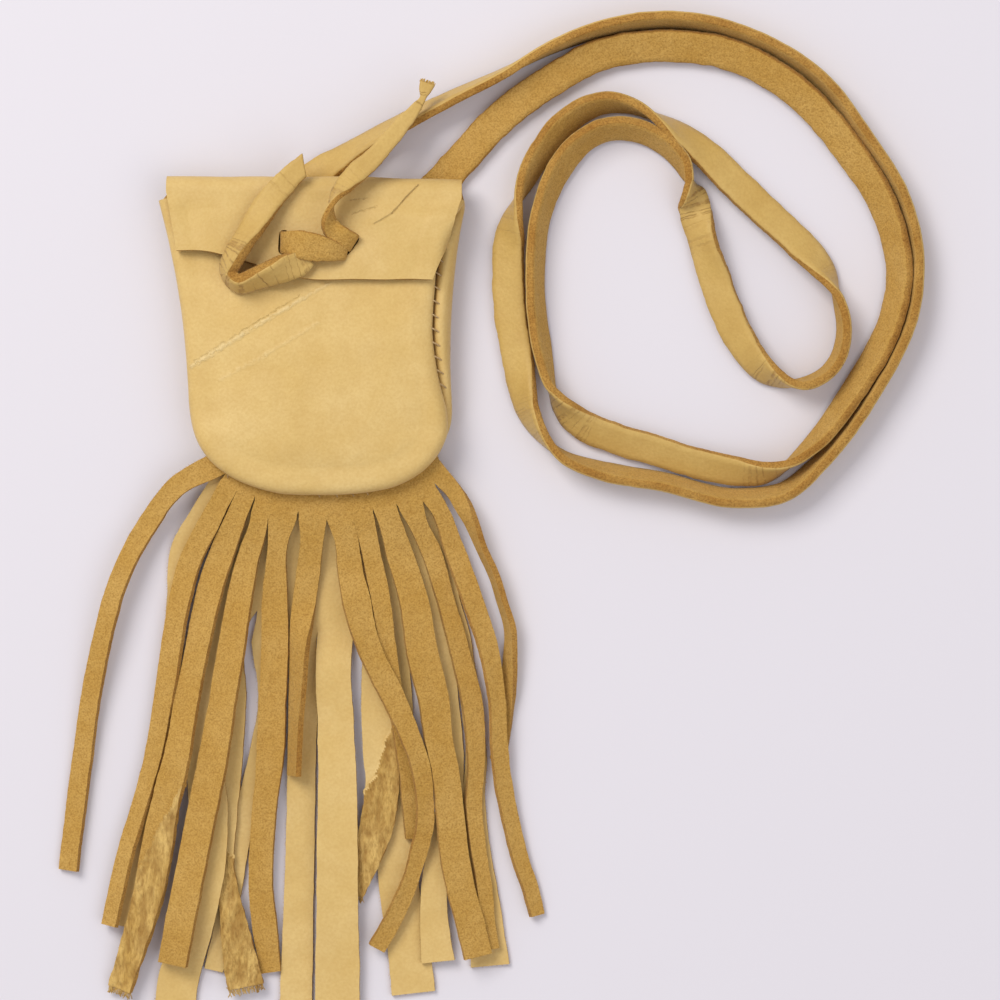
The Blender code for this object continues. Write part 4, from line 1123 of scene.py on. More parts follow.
    def build_back(self, front: BVHTree, leathers: Leathers, cutters: list) -> bpy.types.Object:
        """Returns the back with the flap."""
        sections = [SHAPE.back_section(t) for t in self.seam_steps()]
        sheet = Sheet("pouch_back_and_flap")
        mouth = self.panel(sheet, sections, self.patch(sections, lambda point, across, below: point), 7)
        low = LEATHER / 2 + SHAPE.back_lift(SHAPE.mouth_y)
        radius = (self.fold_top - low) / 2
        turn_y = self.fold_y - radius - LEATHER / 2
        left, right = mouth[0].co.x, mouth[-1].co.x
        shares = [(vertex.co.x - left) / (right - left) for vertex in mouth]
        rests = [vertex.co.z - low for vertex in mouth]
        rows = []
        for step in range(self.fold_steps + 1):
            angle = math.pi * step / self.fold_steps
            kept = max(1 - step * 3 / self.fold_steps, 0) * 0.5
            places = []
            for share, rest in zip(shares, rests):
                x = mix(*self.flap_top, share)
                uneven = 0.3 * MM * waver(Vector((x, 0, 0)), 11 * MM, 12) * math.sin(angle)
                falls = self.fold_falls * share**2 * step / self.fold_steps
                y = turn_y + (radius + uneven) * math.sin(angle) - falls
                places.append(Vector((x, y, low + radius * (1 - math.cos(angle)) + rest * kept)))
            rows.append(places)
        for step in range(1, self.flap_steps + 1):
            down = step / self.flap_steps
            rows.append([self.flap_place(front, share, down, turn_y) for share in shares])
        previous = mouth
        for places in rows:
            row = sheet.row(places)
            add_rows(sheet.mesh, previous, row)
            previous = row
        sheet.turn_out(Vector((0, 25 * MM, 13 * MM)))
        return sheet.finish(leathers, cutters=cutters)


@dataclass(frozen=True)
class Seam:
    """The stitches that show: across the groove of the rolled seam, and ticks at the bottom edge."""

    top: float = 17.75 * MM
    bottom: float = -15 * MM
    pitch: float = 3.4 * MM
    depth: float = 0.5 * MM
    ticks: tuple[float, ...] = (0.5 * MM, 5 * MM, 9 * MM, 12.5 * MM, -22 * MM)

    def across(self) -> list[Strand]:
        """Returns the stitches of the groove, each slightly slanted."""
        strands = []
        count = int((self.top - self.bottom) / self.pitch) + 1
        for number in range(count):
            y = self.top - number * self.pitch
            t = ((y - SHAPE.belly_y) / (SHAPE.mouth_y - SHAPE.belly_y) + 5) / 2
            radial, around = SHAPE.seam_ways(t)
            middle = radial * (SHAPE.seam_height - self.depth)
            ends = [SHAPE.edge_place(t, middle + around * side * MM) for side in (-1, 1)]
            slant = (SHAPE.outline(t + 0.01) - SHAPE.outline(t - 0.01)).normalized() * 0.9 * MM
            out = SHAPE.edge_place(t, middle + radial * MM) - SHAPE.edge_place(t, middle)
            strands.append(Strand((ends[0] + ends[1]) / 2, ends[1] - ends[0] + slant, out))
        return strands

    def below(self) -> list[Strand]:
        """Returns the ends of stitches that peep out between the front and the fringe."""
        strands = []
        ts = np.linspace(1, 2, 401)
        for x in self.ticks:
            t = float(min(ts, key=lambda value: abs(SHAPE.outline(value).x - x)))
            out = SHAPE.outwards(t)
            place = SHAPE.edge_place(t, Vector((SHAPE.seam_height + 0.1 * MM, SHAPE.seam_gap(t) / 2 + 0.25 * MM)))
            strands.append(Strand(place, out + Vector((0.5, 0, -0.3)), UP))
        return strands


@dataclass
class FringeLayer:
    """One layer of cut fringe, caught in the bottom seam."""

    name: str
    start: float
    strips: tuple
    layers: float
    drop_length: float
    top: Side
    torn: dict[int, tuple[float, float]] = field(default_factory=dict)
    leans: dict[int, float] = field(default_factory=dict)
    thickness: float = LEATHER * 0.95
    columns: int = 8
    step: float = 0.9 * MM
    torn_columns: int = 22
    torn_step: float = 0.4 * MM
    slit: float = 0.5 * MM
    inside: float = 3.6 * MM
    turn_length: float = 7 * MM
    wear_fade: float = 6 * MM
    seed: float = 1.0
    torn_ends: list = field(default_factory=list)

    DEPTHS = (0, 1, 2, 3, 4, 5, 6, *range(8, 42, 2))

    def height(self, below: float, layers: float) -> float:
        """Returns the middle of a strip this far below the seam and this many layers up."""
        drop = SHAPE.seam_height - CLEARANCE / 2 - LEATHER
        return LEATHER / 2 + drop * (1 - smooth(below / self.drop_length)) + layers * (LEATHER + CLEARANCE)

    def seam(self) -> tuple[np.ndarray, np.ndarray]:
        """Returns values of t along the fringed seam and how far along it they lie."""
        ts = [t for t in np.linspace(0, 3, 901) if SHAPE.outline(t).y <= SHAPE.fringe_from_y]
        lengths = [(SHAPE.outline(b) - SHAPE.outline(a)).length for a, b in zip(ts, ts[1:])]
        along = np.concatenate([[0], np.cumsum(lengths)])
        return np.array(ts), along / along[-1]

    def root(self, i: int, ts: np.ndarray, along: np.ndarray) -> Vector:
        """Returns where the middle of a strip leaves the seam."""
        start = self.strips[i - 1][0] if i else self.start
        return SHAPE.outline(float(np.interp((start + self.strips[i][0]) / 2, along, ts)))

    def reached(self, i: int, below: float, root: Vector) -> tuple[Vector, float]:
        """Returns a strip's middle this far from its root, and half its width there."""
        rows = np.array([(0, 0, self.strips[i][2][0][2])] + [row[:3] for row in self.strips[i][2]]) * MM
        far = np.hypot(rows[:, 0], rows[:, 1])
        x, y, half = (float(np.interp(below, far, column)) for column in rows.T)
        return root + Vector((x, y, 0)), half

    def edges(self, ts: np.ndarray, along: np.ndarray) -> list[tuple]:
        """Returns where each slit leaves the seam: root, outward way, heading and uncut depth."""
        shares = [self.start] + [strip[0] for strip in self.strips]
        headings = [Vector((line[0][0], line[0][1], 0)).normalized() for _, _, line in self.strips]
        edges = []
        for i, share in enumerate(shares):
            heading = sum(headings[max(i - 1, 0) : i + 1], Vector((0, 0, 0))).normalized()
            uncut = self.strips[i - 1][1] * MM if 0 < i < len(self.strips) else 0
            t = float(np.interp(share, along, ts))
            if uncut > 6 * MM:
                left, left_half = self.reached(i - 1, uncut, self.root(i - 1, ts, along))
                right, right_half = self.reached(i, uncut, self.root(i, ts, along))
                end = (left + right) / 2 + Vector((left_half - right_half, 0, 0)) / 2
                heading = (end - SHAPE.outline(t)).normalized()
            edges.append((SHAPE.outline(t), SHAPE.outwards(t), heading, uncut))
        return edges

    def edge_point(self, edge: tuple, below: float, side: int) -> Vector:
        """Returns a place on a strip's edge. side is 1 for the strip to its right."""
        root, outward, heading, uncut = edge
        place = root + (outward if below < 0 else heading) * below
        if below > uncut:
            place += Vector((-heading.y, heading.x, 0)) * (self.slit / 2 * side)
        place.z = self.height(max(below, 0), self.layers)
        return place

    def strip_knots(self, i: int, last: float, left: Vector, right: Vector, root: Vector) -> list[Knot]:
        """Returns a strip's free line as knots of place, half width and roll.

        Args:
            i: the strip.
            last: how far below the seam it is still uncut.
            left: its left edge there.
            right: its right edge there.
            root: where its middle leaves the seam.
        """
        knots = [(*((left + right) / 2), (right - left).length / 2, 0)]
        for number, point in enumerate(self.strips[i][2]):
            x, y, half, above, roll = (*point, 0)[:5]
            roll += self.leans.get(i, 0) * smooth((number + 1) / 4)
            offset = Vector((x, y, 0)) * MM
            if offset.length < last + 1 * MM:
                continue
            lift = half * MM * math.sin(math.radians(abs(roll)))
            height = self.height(offset.length, above) + lift
            knots.append((root.x + offset.x, root.y + offset.y, height, half * MM, math.radians(roll)))
        return knots

    def build(self, leathers: Leathers) -> bpy.types.Object:
        """Returns the layer."""
        sheet = Sheet(self.name, self.thickness)
        ts, along = self.seam()
        edges = self.edges(ts, along)
        made = {}

        def vertex(i: int, below: float, side: int):
            key = (i, round(below, 7), side if below > edges[i][3] + 1e-9 else 0)
            if key not in made:
                made[key] = sheet.mesh.verts.new(self.edge_point(edges[i], below, side))
            return made[key]

        flesh = set()
        for i in range(len(self.strips)):
            last = max(edges[i][3], edges[i + 1][3])
            columns, step = (self.torn_columns, self.torn_step) if i in self.torn else (self.columns, self.step)
            depths = [-self.inside, -self.inside / 2] + [d * MM for d in self.DEPTHS if d * MM <= last + 1e-9]
            rows = []
            for depth in depths:
                left, right = vertex(i, depth, 1), vertex(i + 1, depth, -1)
                between = [mix(left.co, right.co, k / columns) for k in range(1, columns)]
                rows.append([left] + sheet.row(between) + [right])
            left, right = rows[-1][0].co, rows[-1][-1].co
            lies = (right - left).normalized()
            path = curve_through(self.strip_knots(i, last, left, right, self.root(i, ts, along)), step)
            travelled = 0.0
            for n in range(1, len(path)):
                before, point, after = path[n - 1], path[n], path[min(n + 1, len(path) - 1)]
                travelled += math.dist(before[:3], point[:3])
                way = Vector((after[0] - before[0], after[1] - before[1], 0)).normalized()
                across = Vector((-way.y, way.x, 0)) * math.cos(point[4]) + Vector((0, 0, math.sin(point[4])))
                across = mix(lies, across, smooth(travelled / self.turn_length)).normalized()
                middle = Vector((point[0], point[1], max(point[2], LEATHER / 2)))
                torn = self.is_torn(i, n / len(path), middle, columns)
                rows.append(sheet.row(self.across(middle, across, point[3], travelled, i, torn)))
                flesh.update(place for place, is_torn in zip(rows[-1], torn) if is_torn)
            if i in self.torn:
                self.torn_ends.append((rows[-1][0].co.copy(), rows[-1][-1].co.copy(), way))
            for first, second in zip(rows, rows[1:]):
                for face in add_rows(sheet.mesh, first, second, self.top):
                    if flesh.issuperset(face.verts):
                        face.material_index = Side.ROUGH.value
        sheet.turn_out(Vector((0, -60 * MM, 3 * MM)))
        return sheet.finish(leathers, self.top)

    def is_torn(self, strip: int, share: float, middle: Vector, columns: int) -> list[bool]:
        """Tells for each point across a strip whether it is torn flesh at this share of the length."""
        left, right = self.torn.get(strip, (2.0, 2.0))
        flags = []
        for k in range(columns + 1):
            place = middle + Vector((8 * MM * k / columns, 0, 0))
            ragged = 0.018 * waver(place, 2.2 * MM, self.seed + 3) + 0.01 * waver(place, 0.8 * MM, self.seed + 4)
            flags.append(share + ragged > mix(left, right, k / columns))
        return flags

    def across(
        self, middle: Vector, across: Vector, half: float, travelled: float, strip: int, torn: list[bool]
    ) -> list[Vector]:
        """Returns one row of points across a strip, with uneven edges, a slight hollow and thick torn flesh."""
        fade = smooth(travelled / self.wear_fade)
        places = []
        for k, is_torn in enumerate(torn):
            u = 1 - 2 * k / (len(torn) - 1)
            edge = middle - across * half * u
            seed = self.seed + strip
            ragged = 0.16 * waver(edge, 6 * MM, seed) + 0.10 * waver(edge, 1.6 * MM, seed)
            lump = 0.10 * waver(edge, 5 * MM, seed) - 0.10 * (1 - u * u)
            if is_torn:
                lump += 0.35 + 0.35 * waver(edge, 2.6 * MM, self.seed + 9)
                ragged += 0.2 * waver(edge, 2.5 * MM, self.seed + 11)
            places.append(edge - across * ragged * MM * u * fade + UP * lump * MM * fade)
        return places


# Each strip: its end along the seam, how far it is uncut, and its line of x, y, half width,
# layers up and roll, in millimetres and degrees from where it leaves the seam
FRONT_STRIPS = (
    (0.103, 0, (
        (-9.5, -5, 2.5, 1.6), (-17.5, -15.5, 2.5, 2.2), (-23.5, -27, 2.4, 2.6), (-27.5, -40, 2.4, 2.2),
        (-30.5, -53.5, 2.5, 1.2), (-33.5, -73.5, 2.5, 0.3), (-37, -101, 2.5, 0),
    )),
    (0.173, 2, (
        (-5.5, -10, 2.6, 1), (-11, -21, 2.8, 1), (-14, -33.5, 2.8, 1), (-17, -53, 2.8, 1), (-20, -70, 2.5, 1),
        (-23, -80.5, 2.2, 1), (-27, -93.5, 2.2, 1), (-31, -111.5, 2.1, 1),
    )),
    (0.242, 2, (
        (-3.5, -8.5, 2.6, 1), (-7.5, -18.5, 3.1, 1), (-10.5, -28.5, 3.2, 1.2), (-13, -41, 3.1, 1.7),
        (-15.5, -53.5, 3.2, 2.2), (-18, -68.5, 3.5, 3.2), (-21, -80, 3.8, 2.2), (-23, -91, 4.2, 1.4),
        (-25.5, -103.5, 4.0, 1.2), (-28.5, -113.5, 3.5, 1.2), (-32.5, -125.5, 3.1, 0.3),
    )),
    (0.303, 6, (
        (-1.5, -7.5, 2.2, 1), (-4.5, -17.5, 2.8, 1), (-6.5, -27.5, 3.2, 1.4), (-8.5, -40, 3.5, 2),
        (-10.5, -52.5, 3.5, 2.5), (-12.5, -65, 3.8, 3.1), (-15, -77.5, 3.8, 3.3), (-17.5, -90, 3.8, 3.3),
        (-20, -102.5, 3.8, 3.3), (-22, -112.5, 3.8, 2.8), (-23, -118, 3.8, 2.2),
    )),
    (0.411, 4, (
        (-2, -11.5, 2.6, 1), (-3, -26.5, 3.2, 1), (-3, -39, 3.4, 1), (-3.5, -51.5, 3.4, 1), (-4, -64, 3.4, 1),
        (-5, -74, 3.1, 1), (-6, -84, 3.0, 1), (-6.5, -96.5, 3.0, 0.8), (-5.5, -109, 3.1, 0.4),
        (-4, -119.5, 2.5, 0.1),
    )),
    (0.506, 6, (
        (0, -11, 2.9, 1), (-1, -19, 2.9, 1), (-2, -26, 2.9, 1), (-3, -36, 2.9, 1, 40), (-3.5, -46, 2.9, 1, 52),
        (-4, -56, 2.8, 1.1, 60), (-4.5, -70, 2.4, 1.1, 60),
    )),
    (0.602, 6, (
        (2.5, -11, 2.9, 1), (3.5, -19, 3.1, 1.6), (5, -26, 3.5, 2.6), (7.5, -36, 3.0, 3.2), (11, -44, 2.9, 3.2),
        (14.5, -51, 2.9, 3.2), (18, -59, 2.5, 3.2), (21, -67.5, 2.4, 2.9), (22, -75, 2.2, 2.5),
        (22, -82.5, 2.2, 2.1), (20.5, -89, 2.1, 2), (18.5, -96, 2.0, 1.9), (15, -104, 2.1, 1.5),
        (10, -113, 2.2, 1.1),
    )),
    (0.683, 4, (
        (2.5, -11.5, 2.4, 1), (4, -19, 2.4, 1.6), (5.5, -26.5, 2.4, 2.1), (7, -36.5, 2.1, 2.1),
        (8.5, -46.5, 1.9, 2.1), (10, -56.5, 1.8, 2.1), (11.5, -66.5, 1.8, 1.5), (12.5, -76.5, 1.8, 1.2),
        (13, -86, 1.2, 1),
    )),
    (0.770, 4, (
        (2.5, -7.5, 2.8, 1), (5.5, -17.5, 3.4, 1.2), (8.5, -27.5, 3.6, 1.6), (10.5, -40, 3.9, 2),
        (13.5, -52.5, 3.8, 2), (14.5, -61, 3.5, 2), (16.5, -71, 3.4, 2), (17.5, -80, 3.5, 2), (18.5, -90, 3.6, 2),
        (20.5, -100, 3.5, 2.1), (22.5, -107.5, 3.5, 2.1), (24.5, -116, 3.5, 2.1),
    )),
    (0.862, 6, (
        (4, -9.5, 2.4, 1), (7.5, -17, 2.4, 1), (11, -29, 2.2, 1), (14.5, -41.5, 2.5, 1), (17.5, -54, 2.6, 1),
        (18.5, -64, 2.4, 1), (18.5, -72.5, 2.1, 1), (18, -80, 2.1, 1), (19, -90, 2.0, 1), (20.5, -100, 2.0, 1),
        (21.5, -110, 2.0, 1), (22.5, -116, 2.0, 1),
    )),
    (0.927, 4, (
        (4.5, -7.5, 2.2, 1), (9, -19, 2.5, 1.3), (13.5, -31.5, 2.6, 1.7), (17.5, -44, 2.5, 2),
        (19.5, -56.5, 2.1, 2), (20, -66.5, 2.1, 1.6), (21, -76.5, 2.2, 1), (23, -86.5, 2.1, 0.6),
        (25.5, -96.5, 2.1, 0.3), (28, -104, 2.0, 0.1), (29.5, -110, 1.8, 0),
    )),
    (1.000, 0, (
        (5.5, -7, 2.1, 1), (9.5, -14, 2.1, 1, 50), (12.5, -21.5, 2.1, 1, 68), (15.5, -28, 2.1, 0.8, 70),
        (17.5, -34.5, 2.1, 0.5, 70), (19.5, -41.5, 2.1, 0.3, 65), (19.5, -48, 2.1, 0.1, 55),
        (19, -55.5, 2.1, 0, 40), (18, -63, 2.1, 0, 15), (16.5, -74, 2.0, 0),
    )),
)

BACK_STRIPS = (
    (0.17, 10, (
        (-6, -9, 2.2, 0), (-12.5, -18.5, 2.2, 0), (-13.5, -31, 2.2, 0), (-15, -53.5, 2.2, 0), (-17.5, -71, 2.2, 0),
        (-20, -83.5, 2.2, 0), (-23.5, -97.5, 2.2, 0), (-27, -112.5, 2.1, 0),
    )),
    (0.27, 16, (
        (-3.5, -11, 2.8, 0), (-7, -18.5, 3.1, 0), (-10, -28.5, 3.5, 0), (-11.5, -41, 3.8, 0.4),
        (-12.5, -53.5, 4.0, 1), (-12, -68.5, 4.5, 2.1), (-11, -81, 4.8, 2.2), (-11.5, -93.5, 4.8, 2.2),
        (-13, -103.5, 4.5, 2.1), (-15.5, -113.5, 4.5, 1), (-18.5, -122, 5.0, 0.2), (-20, -136, 5.0, 0),
    )),
    (0.34, 30, (
        (-3, -9.5, 2.0, 0), (-6, -17, 2.0, 0), (-8, -32, 2.0, 0), (-9, -52, 2.0, 0.6), (-10, -67, 2.2, 1),
        (-11.5, -82, 2.2, 1), (-12, -94.5, 2.2, 1), (-10.5, -104.5, 3.0, 1.1), (-9, -113.5, 4.0, 1.1),
        (-7, -123.5, 4.5, 1.1),
    )),
    (0.41, 38, (
        (-2.5, -11.5, 2.4, 0), (-4.5, -26.5, 2.5, 0), (-6, -51.5, 2.4, 0), (-8.5, -66.5, 2.5, 0),
        (-12.5, -84, 2.5, 0), (-15.5, -101.5, 2.5, 0), (-19.5, -119, 2.4, 0),
    )),
    (0.50, 34, (
        (0, -14, 3.0, 0), (-1.5, -31, 3.2, 0), (-2, -51, 3.5, 0), (-2.5, -66, 3.5, 0), (-3, -89, 3.6, 0),
        (-3.5, -109, 3.8, 0), (-4, -126, 4.0, 0), (-4.5, -137.5, 4.0, 0),
    )),
    (0.60, 32, (
        (0, -16, 2.6, 0.4), (0, -22, 3.3, 1), (-0.5, -29, 4.0, 1.1), (-0.5, -41, 4.4, 1.1), (0, -56, 4.5, 1.3),
        (0.5, -71, 4.8, 1.9), (0.5, -89, 5.1, 2.1), (0.5, -104, 5.2, 1.8), (0.5, -116, 5.5, 1.3),
        (0.5, -136, 5.5, 1),
    )),
    (0.68, 34, (
        (0.5, -14, 2.2, 0), (2, -26.5, 2.4, 0.9), (3.5, -36.5, 3.0, 1), (4.5, -49, 3.8, 1), (5, -61.5, 4.0, 1),
        (6, -73, 4.2, 1), (4.5, -83, 4.2, 1), (2, -91, 3.5, 1), (-1.5, -99.5, 3.0, 0.4),
    )),
    (0.77, 32, (
        (0.5, -15, 2.2, 0), (2.5, -27.5, 2.8, 0), (4, -40, 3.5, 0), (4, -52.5, 4.2, 0), (4, -67.5, 4.5, 0),
        (4, -87.5, 4.8, 0), (5, -100, 5.0, 0), (7, -112.5, 5.2, 0), (8.5, -125.5, 5.4, 0),
    )),
    (0.85, 26, (
        (3, -14, 2.2, 0), (7.5, -26.5, 2.2, 0), (10.5, -40, 2.2, 0), (12.5, -54, 2.2, 0), (13, -66.5, 2.8, 0),
        (12, -81.5, 3.2, 0), (10, -91.5, 3.2, 0.4), (8.5, -100, 3.2, 1), (8.5, -109, 3.5, 1), (9.5, -119, 4.2, 1),
    )),
    (0.93, 3, (
        (4, -13.5, 2.1, 0), (7.5, -26, 2.1, 0), (11, -41, 2.2, 0), (13, -56, 2.4, 0), (14.5, -68.5, 2.6, 0),
        (14, -81, 2.8, 0), (15, -93.5, 3.0, 0), (16.5, -106, 3.8, 0), (18, -122.5, 4.8, 0),
    )),
)

FRONT_TORN = {2: (0.76, 0.575)}
BACK_TORN = {2: (0.60, 0.66), 6: (0.62, 0.36)}
FRONT_LEANS = {0: 20, 1: 28, 2: 22, 3: 18, 4: 7, 6: -16, 7: -10, 8: -13, 9: -16, 10: -24}


@dataclass
class NeckLace:
    """The flat neck lace: one run from inside the pouch, out through the back, round and in again."""

    width: float = 8 * MM
    thickness: float = 2.2 * MM
    inside: float = 4.1 * MM
    left_slit: tuple = ((-8, 33), (-13, 28.4), (-19, 22.5))
    right_slit: tuple = ((25.5, 33), (20.5, 28.2), (15, 22.5))

    LINE = (
        (-4.5, 36.25, 180), (0, 40, 160), (6.75, 44.25, 130), (15.5, 49.5, 118), (24.45, 54.4, 112),
        (35.87, 60.04, 105), (46.15, 64.87, 98), (56.31, 70.53, 86), (70.98, 76.1, 76), (90.42, 78.2, 75),
        (105.33, 74.9, 75), (126.1, 62.5, 75), (135.85, 49.71, 75), (145.99, 32.6, 75), (148.81, 21.07, 75),
        (148.04, 6.64, 75), (138.27, -14.58, 75), (125.77, -31.26, 72), (116.1, -39.25, 65), (104.28, -40.8, 65),
        (85.6, -36.6, 65), (70.65, -33.92, 66), (61.1, -30.33, 80), (56.75, -26.25, 95), (53.25, -20.75, 115),
        (50, -6.25, 155), (47.5, 13.75, 160), (47.75, 22.5, 150), (48.5, 28.25, 120), (50.25, 34.25, 85),
        (53, 40.75, 60), (56.75, 46.75, 50), (61, 52, 48), (66, 55.75, 55), (71.75, 57.75, 62), (78, 57, 75),
        (84.25, 54, 95), (90.5, 49.75, 125), (95.5, 46, 145), (105.5, 36.5, 158), (115.5, 27, 156),
        (120.5, 22.25, 150), (125.5, 16.75, 130), (129, 10.75, 92), (131, -1.25, 76), (129.5, -6.25, 74),
        (126, -10.25, 74), (121.25, -12.25, 76), (116.25, -11.75, 95), (111.75, -9.25, 120), (105, -0.5, 150),
        (99.5, 12.5, 158), (95, 27.5, 150), (93.75, 33, 200), (92.75, 37.75, 262), (91, 42.5, 285),
        (87.5, 46.5, 290), (82.5, 49.75, 295), (76.75, 51.25, 297), (71, 50.75, 298), (66.25, 48.25, 300),
        (62, 43.75, 305), (58.75, 38.25, 300), (56.25, 31.75, 295), (54.25, 13.75, 290), (56.5, -6.25, 288),
        (58.25, -13.25, 272), (60.75, -17.5, 245), (64.75, -21.5, 215), (75.5, -26.25, 203), (85.5, -29.25, 202),
        (95.5, -32.25, 204), (104.25, -34, 212), (111, -34.5, 235), (117, -32.5, 265), (123, -27.75, 285),
        (133.5, -14, 300), (143, 3.75, 303), (145, 13.75, 303), (142, 29.75, 310), (131.75, 47, 325),
        (119.25, 60.75, 328), (104.25, 69.4, 334), (85.5, 72, 336), (70.5, 69.8, 338), (58, 63.25, 350),
        (45.5, 54, 357), (35, 42.75, 360), (30.75, 38.25, 360), (26.75, 34.25, 360),
    )

    @property
    def under(self) -> float:
        """The height of the lace's middle under the back."""
        return (self.thickness + CLEARANCE) / 2

    @property
    def within(self) -> float:
        """The height of the lace's middle inside the pouch."""
        return self.inside + CLEARANCE + self.thickness / 2

    def knots(self) -> list[Knot]:
        """Returns the whole route, with what lies inside the pouch."""
        heights = (self.under, self.within, self.within)

        def through(slit: tuple, roll: float) -> list[Knot]:
            return [(x * MM, y * MM, z, roll) for (x, y), z in zip(slit, heights)]

        lying = []
        for x, y, degrees in self.LINE:
            roll = math.radians(degrees)
            reach = half_height(self.width, self.thickness, roll)
            lying.append((x * MM, y * MM, reach + CLEARANCE / 2, roll))
        return through(self.left_slit, math.pi)[::-1] + lying + through(self.right_slit, 2 * math.pi)

    def cutters(self, leathers: Leathers) -> list[bpy.types.Object]:
        """Returns the bodies that cut the two slits in the back."""
        bodies = []
        for name, (outer, inner, _) in (("left_lace_slit", self.left_slit), ("right_lace_slit", self.right_slit)):
            start = Vector((outer[0] * MM, outer[1] * MM, self.under))
            end = Vector((inner[0] * MM, inner[1] * MM, self.within))
            across = (end - start).cross(UP)
            slot = SlotCut(start, end, across, self.width + 3 * CLEARANCE, self.thickness + 4 * CLEARANCE)
            bodies.append(slot.cutter(name, leathers))
        return bodies

    def build(self, leathers: Leathers) -> bpy.types.Object:
        """Returns the lace, riding on the bag."""
        size = (self.width, self.thickness)
        band = Band("neck_lace", self.knots(), *size, floor=CLEARANCE / 2, top=Side.SUEDE)
        lace = band.build(leathers)
        path = [tuple(row[:3]) for row in band.rows()[::4]]
        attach(lace, "root")
        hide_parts("neck_strap")
        return lace


@dataclass
class Studio:
    """The pale floor, the soft light from the upper left and the camera straight above."""

    middle: tuple[float, float] = (45.5 * MM, -41.25 * MM)
    view: float = 250 * MM
    height: float = 1.1
    sensor: float = 36.0
    paper: Colour = (0.70, 0.67, 0.70)

    def build(self) -> None:
        """Makes floor, lights, world and camera."""
        scene = bpy.context.scene
        scene.view_settings.view_transform = "Standard"
        paper = Surface("Paper", Base_Color=(*self.paper, 1), Roughness=0.9, Specular_IOR_Level=0.1)
        mesh = bmesh.new()
        bmesh.ops.create_grid(mesh, x_segments=1, y_segments=1, size=3)
        data = bpy.data.meshes.new("floor")
        mesh.to_mesh(data)
        mesh.free()
        data.materials.append(paper.material)
        placed("floor", data)
        self.light("window", (-0.66, 0.75, 1.2), 0.8, 17.5, (1.0, 0.985, 0.96))
        self.light("fill", (0.7, -0.5, 1.2), 1.2, 4.6, (0.95, 0.96, 1.0))
        world = bpy.data.worlds.new("Room")
        world.use_nodes = True
        background = world.node_tree.nodes["Background"].inputs
        background["Color"].default_value = (0.95, 0.94, 1.0, 1)
        background["Strength"].default_value = 0.57
        scene.world = world
        camera = placed("camera", bpy.data.cameras.new("camera"))
        camera.data.sensor_width = self.sensor
        camera.data.lens = self.sensor * self.height / self.view
        camera.location = (*self.middle, self.height)
        camera.data.clip_start = 10 * MM
        scene.camera = camera

    def light(self, name: str, place: tuple, size: float, power: float, colour: Colour) -> None:
        """Adds a square soft light that shines on the bag."""
        lamp = bpy.data.lights.new(name, "AREA")
        lamp.size = size
        lamp.energy = power
        lamp.color = colour
        obj = placed(name, lamp)
        obj.location = place
        aim = Vector((*self.middle, 0)) - Vector(place)
        obj.rotation_euler = aim.to_track_quat("-Z", "Y").to_euler()


def scratch(
    x0: float, y0: float, x1: float, y1: float, width: float, *look, above: float = 0.0, broken: float = 1.0
) -> Mark:
    """Returns a mark whose line, width and lowest height are given in millimetres."""
    return Mark((x0 * MM, y0 * MM), (x1 * MM, y1 * MM), width * MM, *look, above * MM, broken)


FRONT_MARKS = (
    # The scar: its own paler tone, lightened further as a painted highlight on its raised ridge
    scratch(-30.75, -8.0, -18.2, -0.3, 0.9, 4.5, SCAR_TONE_AND_HIGHLIGHT, 0.6),
    scratch(-18.2, -0.3, -3.0, 8.75, 0.8, 4.5, SCAR_TONE_AND_HIGHLIGHT, 0.6),
    scratch(-3.0, 8.75, 3.5, 12.5, 0.6, 3.0, SCAR_TONE_AND_HIGHLIGHT, 0.4),
    # A thin line of painted shadow beside the scar, for the shadow side of its ridge
    scratch(-30.4, -7.1, -4.0, 9.3, 0.28, -3.0, PAINTED_SHADE_LINE, 0.28),
    # A second, fainter scar in the same paler tone with painted highlight
    scratch(-23.5, -11.25, -12.5, -5.5, 0.8, 1.5, SCAR_TONE_AND_HIGHLIGHT, 0.25),
    scratch(-12.5, -5.5, 0.5, 2.5, 0.7, 1.5, SCAR_TONE_AND_HIGHLIGHT, 0.22),
)
FLAP_MARKS = (
    # Creases in the flap: dents in the relief, darkened along their lines with painted shade
    scratch(25.3, 36.8, 21.5, 32.8, 0.3, -5.0, PAINTED_SHADE_LINE, 0.8, above=8, broken=0.35),
    scratch(21.5, 32.8, 18.8, 29.6, 0.3, -5.0, PAINTED_SHADE_LINE, 0.7, above=8, broken=0.35),
    scratch(18.8, 29.6, 14.5, 27.0, 0.28, -4.0, PAINTED_SHADE_LINE, 0.45, above=8, broken=0.35),
    scratch(13.0, 33.5, 8.5, 33.0, 0.3, -3.0, PAINTED_SHADE_LINE, 0.35, above=8),
    scratch(9.0, 29.5, 15.0, 31.5, 0.3, -3.0, PAINTED_SHADE_LINE, 0.3, above=8),
)


SCARRED_GRAIN = GrainFinish("Grain leather with scars", marks=FRONT_MARKS)
# The flap's grain, whose creases carry painted shade
CREASED_GRAIN = GrainFinish(
    "Grain leather with creases", (0.61, 0.415, 0.135), (0.655, 0.46, 0.175), marks=FLAP_MARKS
)
LACE_GRAIN = GrainFinish(
    "Grain of the laces", (0.545, 0.35, 0.092), (0.60, 0.405, 0.125), (0.42, 0.24, 0.055), cracked=True
)


